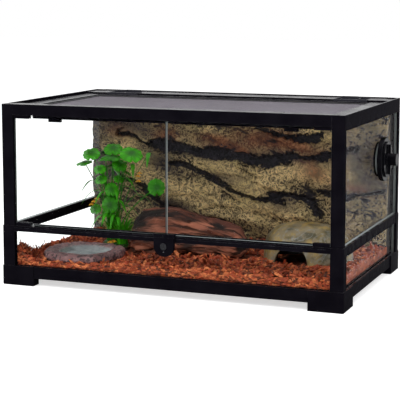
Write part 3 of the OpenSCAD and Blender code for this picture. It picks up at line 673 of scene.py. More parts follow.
@dataclass(frozen=True)
class ClearGlass(Finish):
    """Clear sheet glass that lets light through to what stands behind it."""

    tint: Rgb = (0.992, 0.998, 0.996)
    index: float = 1.07
    mirror_index: float = 1.018
    body: float = 0.03

    def paint(self, sketch: Sketch, shader: Node) -> None:
        """A thin clear sheet with mirror gloss by angle over a little solid glass; open to lamps.

        Args:
            sketch: Adds nodes to the material.
            shader: The material's Principled BSDF.
        """
        sketch.feed(shader, Base_Color=self.tint, Roughness=0.0, IOR=self.index, Transmission_Weight=1.0)
        ray = sketch.add("LightPath").outputs
        open_to = sketch.math("MAXIMUM", ray["Is Shadow Ray"], ray["Is Diffuse Ray"])
        clear = sketch.add("BsdfTransparent", {"Color": self.tint}).outputs[0]
        mirror = sketch.add("BsdfGlossy", {"Roughness": 0.0}).outputs[0]
        outer = sketch.math("SUBTRACT", 1.0, sketch.add("NewGeometry").outputs["Backfacing"])
        gloss = sketch.times(sketch.add("Fresnel", {"IOR": self.mirror_index}).outputs[0], outer)
        thin = sketch.add("MixShader", {0: gloss, 1: clear, 2: mirror}).outputs[0]
        share = sketch.math("MAXIMUM", open_to, 1.0 - self.body)
        both = sketch.add("MixShader", {0: share, 1: shader.outputs[0], 2: thin}).outputs[0]
        sketch.feed(sketch.tree.nodes["Material Output"], Surface=both)


@dataclass(frozen=True)
class GroundGlass(Finish):
    """The ground and seamed edge of a pane: pale, frosted and a little green."""

    colour: Rgb = (0.26, 0.29, 0.29)

    def paint(self, sketch: Sketch, shader: Node) -> None:
        """Fine grinding marks along the edge vary its tone and roughness.

        Args:
            sketch: Adds nodes to the material.
            shader: The material's Principled BSDF.
        """
        marks = sketch.effect(MOTTLE, sketch.place((1, 1, 0.25)), Scale=900.0, Sharpness=1.0)
        base = sketch.mix(marks, self.colour, scaled(self.colour, 1.5))
        rough = sketch.span(marks, 0, 1, 0.28, 0.5)
        sketch.feed(shader, Base_Color=base, Roughness=rough, Normal=sketch.bump(marks, 0.00005, 0.4))


@dataclass(frozen=True)
class PlatedSteel(Finish):
    """Turned and plated steel with fine marks and edges rubbed bright."""

    colour: Rgb = (0.60, 0.60, 0.62)
    worn_and_highlight: Rgb = (0.82, 0.82, 0.84)
    roughness: float = 0.24

    def paint(self, sketch: Sketch, shader: Node) -> None:
        """Metal with turning marks in its roughness and wear on its edges.

        Args:
            sketch: Adds nodes to the material.
            shader: The material's Principled BSDF.
        """
        where = sketch.place()
        marks = sketch.noise(sketch.place((1, 1, 14)), 420, 3)
        wear = sketch.effect(EDGE_WEAR_AND_HIGHLIGHT, where, Width=0.0004, Gain=3.0)
        base = sketch.mix(wear, self.colour, self.worn_and_highlight)
        rough = sketch.span(marks, 0.3, 0.7, self.roughness - 0.07, self.roughness + 0.1)
        skin = sketch.bump(marks, 0.00003, 0.4)
        sketch.feed(shader, Base_Color=base, Roughness=rough, Normal=skin, Metallic=1.0)


@dataclass(frozen=True)
class CoatedWire(Finish):
    """Grey coating on the woven screen's wires."""

    colour: Rgb = (0.18, 0.162, 0.190)
    dust_and_sheen: Rgb = (0.36, 0.34, 0.37)

    def paint(self, sketch: Sketch, shader: Node) -> None:
        """Faint patches of wear in the coating, under dust.

        Args:
            sketch: Adds nodes to the material.
            shader: The material's Principled BSDF.
        """
        where = sketch.place()
        patches = sketch.effect(MOTTLE, where, Scale=26.0, Sharpness=1.2)
        dust = sketch.effect(DUST, where, Amount=0.25)
        base = sketch.mix(dust, sketch.mix(patches, self.colour, scaled(self.colour, 1.25)), self.dust_and_sheen)
        sketch.feed(shader, Base_Color=base, Roughness=sketch.span(patches, 0, 1, 0.42, 0.55))


@dataclass(frozen=True)
class CordRubber(Finish):
    """Dull rubber of the screen's spline."""

    colour: Rgb = (0.022, 0.022, 0.024)
    bloom: Rgb = (0.045, 0.043, 0.045)

    def paint(self, sketch: Sketch, shader: Node) -> None:
        """Small lumps in the cord as bump, and bloom in patches.

        Args:
            sketch: Adds nodes to the material.
            shader: The material's Principled BSDF.
        """
        where = sketch.place()
        bloom = sketch.effect(MOTTLE, where, Scale=70.0, Sharpness=0.8)
        lumps = sketch.noise(where, 900, 1)
        base = sketch.mix(bloom, self.colour, self.bloom)
        sketch.feed(shader, Base_Color=base, Normal=sketch.bump(lumps, 0.0002, 0.5), Roughness=0.72)


@dataclass(frozen=True)
class PaintedRock(Finish):
    """Carved foam painted as rock: brown body, slate, straw threads and rust, with painted shade in its
    hollows and clefts, under its ledges and at its two ends.
    """

    # Near black of the painted shade in clefts and under ledges
    hollow: Rgb = (0.008, 0.007, 0.009)
    body: Rgb = (0.018, 0.014, 0.015)
    fleck: Rgb = (0.060, 0.046, 0.036)
    slate_and_shade: Rgb = (0.052, 0.046, 0.062)
    dark_slate: Rgb = (0.020, 0.018, 0.026)
    wash: Rgb = (0.52, 0.38, 0.19)
    straw: Rgb = (1.0, 0.74, 0.36)
    moss: Rgb = (0.74, 0.56, 0.25)
    rust: Rgb = (0.17, 0.060, 0.034)
    orange: Rgb = (0.70, 0.33, 0.15)

    def paint(self, sketch: Sketch, shader: Node) -> None:
        """Dark paint, slate and rust by the wall's own values, then threads of dry brushed straw; where the
        crest_light_and_shade value is low, in clefts and under ledges, the paint goes dark as painted shade.

        Args:
            sketch: Adds nodes to the material.
            shader: The material's Principled BSDF.
        """
        where = sketch.place((1.0, 1.0, 1.25))
        crest_light_and_shade, ochre, rust, slate_and_shade = (sketch.value(name) for name in ("crest_light_and_shade", "ochre", "rust", "slate_and_shade"))
        coarse = sketch.effect(MOTTLE, where, Scale=48.0, Sharpness=0.8)
        tints = sketch.effect(MOTTLE, sketch.place(), Scale=22.0, Sharpness=0.7)
        fine = sketch.effect(FIBRES, where, Scale=62.0, Width=0.074, Twist=1.9)
        finer = sketch.effect(FIBRES, sketch.place((1.5, 1, 1)), Scale=108.0, Width=0.058, Twist=1.5)
        threads = sketch.math("MAXIMUM", fine, sketch.times(finer, 0.95))
        base = sketch.mix(coarse, self.body, self.fleck)
        # The slate value also darkens the wall's two ends as painted shade
        base = sketch.mix(sketch.times(slate_and_shade, 0.85), base, sketch.mix(coarse, self.dark_slate, self.slate_and_shade))
        stain = sketch.times(rust, sketch.span(coarse, 0.05, 0.8, 0.45, 1.0))
        base = sketch.mix(stain, base, self.rust)
        # Wash and straw threads go where the crest value is high, so raised parts get dry brushed paint and
        # painted light, and the painted shade stays dark
        wash = sketch.times(ochre, sketch.span(crest_light_and_shade, 0.40, 0.85, 0.0, 0.60))
        base = sketch.mix(wash, base, self.wash)
        pale, red = sketch.mix(tints, self.moss, self.straw), sketch.mix(coarse, self.rust, self.orange)
        colour = sketch.mix(rust, pale, red)
        lit = sketch.times(threads, sketch.span(crest_light_and_shade, 0.20, 0.46))
        share = sketch.times(lit, sketch.span(ochre, 0.0, 0.5, 0.55, 1.0))
        # The slate value keeps the straw off the slate and off the painted shade at the wall's ends
        share = sketch.times(share, sketch.span(slate_and_shade, 0.0, 1.0, 1.0, 0.22))
        base = sketch.mix(share, base, colour)
        # Painted shade: where the crest value is low, in clefts and under ledges, the paint goes to the near
        # black hollow colour
        deep = sketch.mix(sketch.times(threads, 0.45), self.hollow, self.slate_and_shade)
        base = sketch.mix(sketch.span(crest_light_and_shade, 0.34, 0.10), base, deep)
        height = sketch.math("ADD", sketch.times(threads, 0.8), sketch.noise(where, 420, 5))
        skin = sketch.bump(height, 0.0014, 0.9)
        rough = sketch.span(coarse, 0, 1, 0.5, 0.75)
        sketch.feed(shader, Base_Color=base, Normal=skin, Roughness=rough, Specular_IOR_Level=0.25)


@dataclass(frozen=True)
class BarkWood(Finish):
    """Reddish bark: each chip has its own tone, with grain along it."""

    dark: Rgb = (0.034, 0.006, 0.004)
    red: Rgb = (0.44, 0.058, 0.019)
    light: Rgb = (0.95, 0.29, 0.10)

    def paint(self, sketch: Sketch, shader: Node) -> None:
        """Tone picks the chip's colour, and stretched noise draws its grain.

        Args:
            sketch: Adds nodes to the material.
            shader: The material's Principled BSDF.
        """
        tone = sketch.value("tone")
        grain = sketch.noise(sketch.place((1.0, 2.3, 3.0)), 330, 5, 0.6)
        patches = sketch.effect(MOTTLE, sketch.place(), Scale=210.0, Sharpness=0.9)
        base = sketch.mix(sketch.span(tone, 0.05, 0.55), self.dark, self.red)
        base = sketch.mix(sketch.span(tone, 0.55, 1.0), base, self.light)
        base = sketch.mix(sketch.span(grain, 0.62, 0.40, 0.0, 0.55), base, self.dark)
        base = sketch.mix(sketch.times(patches, 0.15), base, self.light)
        skin = sketch.bump(grain, 0.0010, 0.7)
        rough = sketch.span(patches, 0, 1, 0.55, 0.8)
        sketch.feed(shader, Base_Color=base, Normal=skin, Roughness=rough, Specular_IOR_Level=0.3)


@dataclass(frozen=True)
class CastStone(Finish):
    """Cast stone of the dish: a rough violet brown rim and a smooth grey basin."""

    rim: Rgb = (0.185, 0.082, 0.084)
    pale_rim: Rgb = (0.29, 0.160, 0.155)
    pit: Rgb = (0.026, 0.014, 0.018)
    basin: Rgb = (0.150, 0.170, 0.175)
    pale_basin: Rgb = (0.24, 0.26, 0.26)

    def paint(self, sketch: Sketch, shader: Node) -> None:
        """The basin value splits the two finishes; speckle and pits break up the rim.

        Args:
            sketch: Adds nodes to the material.
            shader: The material's Principled BSDF.
        """
        where = sketch.place()
        basin = sketch.value("basin")
        speckle = sketch.effect(MOTTLE, where, Scale=105.0, Sharpness=0.8)
        pits = sketch.effect(MOTTLE, where, Scale=210.0, Sharpness=0.5)
        rough = sketch.mix(speckle, self.rim, self.pale_rim)
        rough = sketch.mix(sketch.span(pits, 0.40, 0.9, 0.0, 0.85), rough, self.pit)
        smooth = sketch.mix(speckle, self.basin, self.pale_basin)
        base = sketch.mix(basin, rough, smooth)
        skin = sketch.bump(sketch.mix(basin, pits, (0.5, 0.5, 0.5)), 0.001, 0.6)
        sketch.feed(shader, Base_Color=base, Normal=skin, Roughness=sketch.span(basin, 0, 1, 0.62, 0.24))


@dataclass(frozen=True)
class HideStone(Finish):
    """Cast stone of the hide: olive and ochre washes with grey veins under a light glaze."""

    olive: Rgb = (0.055, 0.044, 0.015)
    ochre: Rgb = (0.32, 0.215, 0.060)
    grey: Rgb = (0.175, 0.135, 0.075)
    vein: Rgb = (0.20, 0.195, 0.175)
    # Painted shade: near black for the inner wall inside the cave
    inside: Rgb = (0.005, 0.004, 0.003)

    def paint(self, sketch: Sketch, shader: Node) -> None:
        """Washes by patches, veins by fibres, and painted shade on the inner wall.

        Args:
            sketch: Adds nodes to the material.
            shader: The material's Principled BSDF.
        """
        where = sketch.place()
        wash = sketch.effect(MOTTLE, where, Scale=42.0, Sharpness=0.5)
        clouds = sketch.effect(MOTTLE, where, Scale=75.0, Sharpness=0.4)
        veins = sketch.effect(FIBRES, where, Scale=34.0, Width=0.035, Twist=2.2)
        base = sketch.mix(wash, self.olive, self.ochre)
        base = sketch.mix(sketch.span(clouds, 0.5, 1.0, 0.0, 0.8), base, self.grey)
        base = sketch.mix(sketch.times(veins, 0.6), base, self.vein)
        # Painted shade over the whole inner wall
        base = sketch.mix(sketch.value("inner"), base, self.inside)
        skin = sketch.bump(sketch.noise(where, 300, 5), 0.0007, 0.5)
        rough = sketch.span(clouds, 0, 1, 0.32, 0.5)
        sketch.feed(shader, Base_Color=base, Normal=skin, Roughness=rough)
        sketch.feed(shader, Coat_Weight=0.25, Coat_Roughness=0.2)


@dataclass(frozen=True)
class Driftwood(Finish):
    """Weathered red brown wood with long grain, and painted shade in its hollows and creases."""

    # Dark of the grain, and of the painted shade in hollows and creases
    dark: Rgb = (0.007, 0.003, 0.002)
    brown: Rgb = (0.085, 0.024, 0.014)
    light: Rgb = (0.42, 0.150, 0.088)

    def paint(self, sketch: Sketch, shader: Node) -> None:
        """Grain runs along the log in its own unbent coordinates.

        Args:
            sketch: Adds nodes to the material.
            shader: The material's Principled BSDF.
        """
        grain = sketch.noise(sketch.place((0.10, 1, 1), "unbent"), 180, 6, 0.7)
        bands = sketch.noise(sketch.place((0.25, 1, 1), "unbent"), 60, 4, 0.8)
        base = sketch.mix(sketch.span(bands, 0.35, 0.68), self.brown, self.light)
        base = sketch.mix(sketch.span(grain, 0.54, 0.40, 0.0, 0.9), base, self.dark)
        # Painted shade: the hollow value darkens the hollow at the thick end, the slit and the creases
        # between folds
        base = sketch.mix(sketch.value("hollow"), base, self.dark)
        skin = sketch.bump(grain, 0.0012, 0.8)
        rough = sketch.span(bands, 0, 1, 0.6, 0.8)
        sketch.feed(shader, Base_Color=base, Normal=skin, Roughness=rough, Specular_IOR_Level=0.25)


@dataclass(frozen=True)
class LeafPlastic(Finish):
    """Soft moulded leaf: bright rim, darker middle, dark creases from the stem."""

    deep: Rgb = (0.004, 0.045, 0.002)
    bright: Rgb = (0.085, 0.62, 0.006)
    vein: Rgb = (0.014, 0.13, 0.005)
    glow: Rgb = (0.3, 1.0, 0.2)

    def paint(self, sketch: Sketch, shader: Node) -> None:
        """The mesh gives how near the rim a point is, its vein value and the leaf's tone.

        Args:
            sketch: Adds nodes to the material.
            shader: The material's Principled BSDF.
        """
        patches = sketch.effect(MOTTLE, sketch.place(), Scale=120.0, Sharpness=0.9)
        tone = sketch.value("tone")
        share = sketch.times(sketch.span(sketch.value("rim"), 0.1, 0.9, 0.22, 1.0), tone)
        base = sketch.mix(share, self.deep, self.bright)
        base = sketch.mix(sketch.times(patches, 0.45), base, self.deep)
        base = sketch.mix(sketch.times(sketch.value("vein"), 0.6), base, self.vein)
        skin = sketch.bump(sketch.value("vein"), 0.0005, 0.5)
        rough = sketch.span(patches, 0, 1, 0.3, 0.46)
        sketch.feed(shader, Base_Color=base, Normal=skin, Roughness=rough, Specular_IOR_Level=0.22)
        sketch.feed(shader, Subsurface_Weight=0.15, Subsurface_Radius=self.glow, Subsurface_Scale=0.002)


@dataclass(frozen=True)
class PetalPlastic(Finish):
    """Small moulded flowers, orange with a yellow rim."""

    orange: Rgb = (0.72, 0.22, 0.01)
    yellow: Rgb = (0.86, 0.56, 0.03)

    def paint(self, sketch: Sketch, shader: Node) -> None:
        """The rim value takes the colour from orange to yellow.

        Args:
            sketch: Adds nodes to the material.
            shader: The material's Principled BSDF.
        """
        patches = sketch.effect(MOTTLE, sketch.place(), Scale=400.0, Sharpness=1.0)
        share = sketch.times(sketch.value("rim"), sketch.span(patches, 0, 1, 0.6, 1.0))
        sketch.feed(shader, Base_Color=sketch.mix(share, self.orange, self.yellow), Roughness=0.45)


@dataclass(frozen=True)
class StudioFloor(Finish):
    """Matt white sweep; the eye sees it at paper white, and it keeps the shadow."""

    colour: Rgb = (0.90, 0.90, 0.90)
    glow: Rgb = (1.0, 1.0, 1.0)
    lift: float = 0.60

    def paint(self, sketch: Sketch, shader: Node) -> None:
        """Camera, mirror and glass rays get a little light of its own on top of its colour.

        Args:
            sketch: Adds nodes to the material.
            shader: The material's Principled BSDF.
        """
        strength = sketch.times(sketch.seen(), self.lift)
        sketch.feed(shader, Base_Color=self.colour, Roughness=0.9, Specular_IOR_Level=0.0)
        sketch.feed(shader, Emission_Color=self.glow, Emission_Strength=strength)


FRAME_BLACK = MouldedPlastic("frame_black", (0.0040, 0.0034, 0.0054))
INLET_GREY = MouldedPlastic("inlet_grey", (0.022, 0.022, 0.028), roughness=0.40, specular=0.10, dust=0.03)
PORT_BLACK = MouldedPlastic("port_black", (0.0032, 0.0032, 0.0044), specular=0.02)
LOCK_DARK = MouldedPlastic("lock_dark", (0.008, 0.008, 0.010), roughness=0.30, specular=0.15)
PANE_GLASS = ClearGlass("float_glass")
PANE_EDGE = GroundGlass("pane_edge")
# Painted shade: a darker copy of the ground edge for the left door, whose edge faces into the seam
SHADED_DOOR_EDGE = GroundGlass("door_edge_shaded", (0.07, 0.08, 0.08))
LOCK_STEEL = PlatedSteel("plated_steel")
LOCK_RING = PlatedSteel("ring_steel", (0.13, 0.13, 0.14), roughness=0.45)
SCREEN_WIRE = CoatedWire("screen_wire")
SPLINE_RUBBER = CordRubber("cord_rubber")
ROCK_PAINT = PaintedRock("rock_paint")
BARK = BarkWood("bark_wood")
DISH_STONE = CastStone("dish_stone")
HIDE_STONE = HideStone("hide_stone")
LOG_WOOD = Driftwood("log_wood")
LEAF = LeafPlastic("leaf_skin")
PETAL = PetalPlastic("petal")


# --------------------------------------------------------------- making pieces


class Workshop:
    """Makes Blender objects and rides them on the frame's bodies."""

    CREASE = 35.0
    WELD = 2e-6

    def __init__(self, frame: dict[str, Any]) -> None:
        """Keeps the loaded frame, and each node's slot and body.

        Args:
            frame: The frame, as it was loaded.
        """
        self.frame = frame
        self.slots = {s["node"]: s["material_slot"] for s in frame["record"]["subparts"]}
        self.body_of = {n: Body(b) for b, ns in frame["record"]["behaviour"]["bodies"].items() for n in ns}

    @staticmethod
    def smooth(mesh: bpy.types.Mesh, crease: float) -> None:
        """Shades a mesh smooth, with a sharp edge where faces meet at more than crease degrees."""
        mesh.polygons.foreach_set("use_smooth", np.ones(len(mesh.polygons), bool))
        mesh.set_sharp_from_angle(angle=math.radians(crease))

    def piece(
        self,
        name: str,
        surface: Surface,
        finish: Finish,
        body: Body = Body.TANK,
        replaced: str | None = None,
        crease: float = 40.0,
    ) -> bpy.types.Object:
        """Turns a surface into a piece of the object.

        Args:
            name: The piece's name.
            surface: Points in corner millimetres, faces and point values.
            finish: Its finish.
            body: The body it rides on.
            replaced: The CAD node that it stands for, if any.
            crease: Faces that meet at more than this angle, in degrees, keep a sharp edge.

        Returns:
            The new object, at the origin.
        """
        mesh = bpy.data.meshes.new(name)
        faces = [face for group in surface.faces for face in group.tolist()]
        mesh.from_pydata(to_row(surface.points).tolist(), [], faces)
        for label, value in surface.values.items():
            kind, key = ("FLOAT_VECTOR", "vector") if value.ndim == 2 else ("FLOAT", "value")
            attribute = mesh.attributes.new(label, kind, "POINT")
            attribute.data.foreach_set(key, value.astype(np.float32).ravel())
        self.smooth(mesh, crease)
        mesh.update()
        made = self.finished(name, mesh, finish, body)
        if replaced:
            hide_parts(replaced)
        return made

    def finished(self, name: str, mesh: bpy.types.Mesh, finish: Finish, body: Body) -> bpy.types.Object:
        """Links a mesh as an object with its finish and puts it on its body.

        Args:
            name: The object's name.
            mesh: Its mesh.
            finish: Its finish.
            body: The body it rides on.

        Returns:
            The new object.
        """
        made = bpy.data.objects.new(name, mesh)
        bpy.context.scene.collection.objects.link(made)
        mesh.materials.clear()
        mesh.materials.append(finish.material())
        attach(made, body.value)
        LOG.info("%s: %d faces", name, len(mesh.polygons))
        return made

    def softened(
        self, node: str, finish: Finish, edge: float, side: Finish | None = None
    ) -> bpy.types.Object:
        """Stands a copy with rounded edges in a CAD node's place.

        Args:
            node: The CAD node.
            finish: The copy's finish.
            edge: Width of the rounding in millimetres.
            side: Another finish for the faces round a flat pane's edge, if any.

        Returns:
            The copy.
        """
        mesh = self.frame["nodes"][node].data.copy()
        shape = bmesh.new()
        shape.from_mesh(mesh)
        bmesh.ops.remove_doubles(shape, verts=shape.verts, dist=self.WELD)
        bmesh.ops.dissolve_limit(shape, angle_limit=math.radians(0.5), verts=shape.verts, edges=shape.edges)
        if node.startswith("cable_"):
            bmesh.ops.connect_verts_concave(shape, faces=shape.faces)
        shape.to_mesh(mesh)
        shape.free()
        for attribute in [a.name for a in mesh.attributes if "normal" in a.name.lower()]:
            mesh.attributes.remove(mesh.attributes[attribute])
        self.smooth(mesh, self.CREASE)
        made = self.finished(node + "_rounded", mesh, finish, self.body_of[node])
        if side:
            mesh.materials.append(side.material())
            low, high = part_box(node)
            thin = min(range(3), key=lambda k: high[k] - low[k])
            normals = np.zeros(3 * len(mesh.polygons))
            mesh.polygons.foreach_get("normal", normals)
            edge_on = np.abs(normals.reshape(-1, 3)[:, thin]) < 0.5
            mesh.polygons.foreach_set("material_index", edge_on.astype(np.int32))
        rounding = made.modifiers.new("rounding", "BEVEL")
        rounding.width = edge * MM
        rounding.segments = 2
        rounding.limit_method = "ANGLE"
        rounding.angle_limit = math.radians(self.CREASE)
        rounding.use_clamp_overlap = True
        rounding.harden_normals = True
        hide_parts(node)
        return made


# ------------------------------------------------------------ frame and fittings


@dataclass
class TankFrame:
    """The black frame: base rails and feet, posts, bars and top rails."""

    shop: Workshop
    edge: float = 0.55
    top: float = 264.0
    screw_x: tuple[float, float] = (10.5, 499.5)
    screw_y: float = 5.0

    SCREW = ((2.1, -0.6), (2.1, -0.05), (1.8, 0.12), (1.2, 0.12), (0.9, -0.25), (0.3, -0.3))

    def build(self) -> None:
        """Rounds the edges of every frame piece and adds the screws on the post tops."""
        places = [f"{y}_{x}" for y in ("front", "back") for x in SIDES]
        names = [f"{kind}_{p}" for kind in ("foot", "lower_post", "upper_post") for p in places]
        names += [f"{kind}_rail_{s}" for kind in ("base", "top") for s in ("front", "back", *SIDES)]
        names += ["sill_bar", "side_bar_left", "side_bar_right", "back_strip"]
        for name in names:
            self.shop.softened(name, FRAME_BLACK, self.edge)
        self.screws()

    def screws(self) -> None:
        """A small dark screw head sunk in the top of each front post.

        Each head is rings about its axis: its side, a rounded rim and the cross slot's bowl.
        """
        out, up = np.array(self.SCREW).T[..., None]
        x, y = out * np.cos(turns(24)), out * np.sin(turns(24))
        heads = [poled(xyz(middle + x, self.screw_y + y, self.top + up)) for middle in self.screw_x]
        self.shop.piece("post_screws", joined(heads), LOCK_DARK, crease=30)


@dataclass
class Panes:
    """The fixed panes and the floor, with ground edges."""

    shop: Workshop

    def build(self) -> None:
        """Gives every pane seamed edges."""
        names = ["lower_pane_front"]
        names += [f"{level}_pane_{side}" for level in ("lower", "upper") for side in SIDES]
        for name in (*names, "back_pane", "floor_glass"):
            self.shop.softened(name, PANE_GLASS, 0.3, PANE_EDGE)


@dataclass
class Doors:
    """Two hinged glass doors with their clips and catches."""

    shop: Workshop

    def build(self) -> None:
        """Dresses both doors; only their ground edges differ, the left door's being a darker copy as painted
        shade.
        """
        for side, ground_edge in zip(SIDES, (SHADED_DOOR_EDGE, PANE_EDGE)):
            self.shop.softened(f"door_glass_{side}", PANE_GLASS, 0.4, ground_edge)
            self.shop.softened(f"hinge_clips_{side}", FRAME_BLACK, 0.3)
            self.shop.softened(f"door_catch_{side}", FRAME_BLACK, 0.45)


@dataclass
class Lock:
    """The lock plate under the doors, its key cylinder, cam, steel ring and index dot."""

    shop: Workshop
    key: tuple[float, float, float] = (255.0, -6.0, 73.8)
    ring_radius: float = 4.2
    wire: float = 0.32
    dot_radius: float = 0.75
    dot_drop: float = -7.6

    def build(self) -> None:
        """Rounds the plate, dresses the cylinder and adds the ring and index dot."""
        self.shop.softened("lock_body", FRAME_BLACK, 0.6)
        self.shop.softened("lock_cylinder", LOCK_DARK, 0.25)
        self.shop.softened("lock_cam", LOCK_STEEL, 0.25)
        self.shop.piece("lock_ring", joined([self.ring(48, 10), self.dot()]), LOCK_RING, crease=60)

    def ring(self, around: int, section: int) -> Surface:
        """A ring of round wire about the key: a circle of circles, half sunk in the plate.

        Args:
            around: Circles round the ring.
            section: Points in a circle.

        Returns:
            The ring.
        """
        a, b = grid(turns(around), turns(section))
        reach = self.ring_radius + self.wire * np.cos(b)
        points = xyz(reach * np.cos(a), -0.15 + self.wire * np.sin(b), reach * np.sin(a)) + np.array(self.key)
        faces = grid_faces(around, section, rows_meet=True)[:, [0, 3, 2, 1]]
        return Surface(points.reshape(-1, 3), [faces]).outward()

    def dot(self) -> Surface:
        """A small flat dome below the key: rings of a shallow bulge out of the plate's face.

        Returns:
            The dome.
        """
        lift = np.linspace(0.0, 0.9, 5)[:, None] * math.pi / 2
        turn = turns(16)
        wide = self.dot_radius * np.cos(lift)
        dome = xyz(wide * np.cos(turn), 0.1 - 0.45 * np.sin(lift), wide * np.sin(turn) + self.dot_drop)
        return poled(dome + np.array(self.key))


@dataclass
class ScreenCover:
    """The lift-off cover: frame, woven wires and rubber spline, with its two latches."""

    shop: Workshop
    low: tuple[float, float] = (32.2, 32.6)
    high: tuple[float, float] = (477.8, 257.4)
    level: float = 256.9
    pitch: float = 1.7
    wire: float = 0.42
    layer: float = 0.28
    overlap: float = 0.02

    def build(self) -> None:
        """Dresses the cover and the latches that hold it."""
        self.shop.softened("screen_frame", FRAME_BLACK, 0.5)
        self.shop.softened("screen_spline", SPLINE_RUBBER, 0.5)
        self.shop.piece("screen_wires", self.net(), SCREEN_WIRE, Body.SCREEN_COVER, "screen_mesh", crease=20)
        for side in SIDES:
            self.shop.softened(f"screen_latch_{side}", FRAME_BLACK, 0.4)

    def net(self) -> Surface:
        """Two layers of straight wires, one along each axis, a pitch apart and just touching.

        Returns:
            All the wires.
        """
        half = self.wire / 2
        (x0, y0), (x1, y1) = self.low, self.high
        xs, ys = (np.arange(a + half, b - half, self.pitch) for a, b in ((x0, x1), (y0, y1)))
        above = self.level - self.overlap, self.level + self.layer
        below = self.level - self.layer, self.level + self.overlap
        along_y = bars(xyz(xs - half, y0, above[0]), xyz(xs + half, y1, above[1]))
        along_x = bars(xyz(x0, ys - half, below[0]), xyz(x1, ys + half, below[1]))
        return joined([along_y, along_x])


@dataclass
class Fittings:
    """Cable inlets and their gates on the back strip, and the service port on the right pane."""

    shop: Workshop

    def build(self) -> None:
        """Dresses the inlets, gates and port."""
        for side in SIDES:
            self.shop.softened(f"cable_inlet_{side}", INLET_GREY, 0.25)
            self.shop.softened(f"cable_gate_{side}", INLET_GREY, 0.12)
        for piece, edge in (("flange", 0.9), ("nut", 0.5), ("cap", 0.8)):
            self.shop.softened(f"port_{piece}", PORT_BLACK, edge)


# ---------------------------------------------------------------- the landscape


@dataclass
class Ground:
    """Height of the bark, the same formula as the CAD solid's, for everything that lies on it.

    Attributes:
        dish: Middle x and y, half width, half depth and level of its place; hide, plant and
            grass are given in the same way.
        log: Start x and y, end x and y, greatest radius, and level of its place.
    """

    x: tuple[float, float] = (10.4, 499.6)
    y: tuple[float, float] = (10.4, 287.2)
    front: float = 40.0
    back: float = 34.0
    floor: float = 20.0
    margin: float = 18.0
    dish: tuple[float, ...] = (97.4, 70.4, 58.0, 56.0, 32.0)
    hide: tuple[float, ...] = (421.6, 124.4, 70.0, 54.0, 42.0)
    plant: tuple[float, ...] = (97.4, 167.4, 17.0, 17.0, 37.0)
    grass: tuple[float, ...] = (121.4, 148.4, 12.0, 12.0, 37.0)
    log: tuple[float, ...] = (148.4, 128.4, 325.6, 140.4, 33.0, 37.0)

    def share_of_pad(self, x: Array, y: Array, pad: Sequence[float]) -> Array:
        """1 on a level resting place, an ellipse, and easing to 0 over the next third of its size."""
        away = np.hypot((x - pad[0]) / (pad[2] + self.margin), (y - pad[1]) / (pad[3] + self.margin))
        return 1 - ease((away - 1) / 0.3)

    def from_log(self, x: Array, y: Array) -> Array:
        """Distance to the log's line."""
        return from_line(x, y, self.log[:2], self.log[2:4])

    def height(self, x: Array, y: Array) -> Array:
        """Slope to the back plus lumps and a corner mound, with level places mixed in.

        Args:
            x: Places across the tank.
            y: Places towards its back.

        Returns:
            The bark's level at each place.
        """
        lumps = 1.6 * np.sin(np.radians(3.1 * x + 40 * np.sin(np.radians(1.3 * y))))
        lumps = lumps * np.cos(np.radians(3.7 * y + 0.9 * x))
        mound = 17 * np.exp(-(((x - 18.4) / 20) ** 2) - ((y - 38.4) / 28) ** 2)
        z = blend(self.front, self.back, (y - self.y[0]) / (self.y[1] - self.y[0])) + lumps + mound
        z = blend(z, self.hide[4], self.share_of_pad(x, y, self.hide))
        z = blend(z, self.log[5], 1 - ease((self.from_log(x, y) - self.log[4] - self.margin) / 14))
        for pad in (self.plant, self.grass, self.dish):
            z = blend(z, pad[4], self.share_of_pad(x, y, pad))
        return z


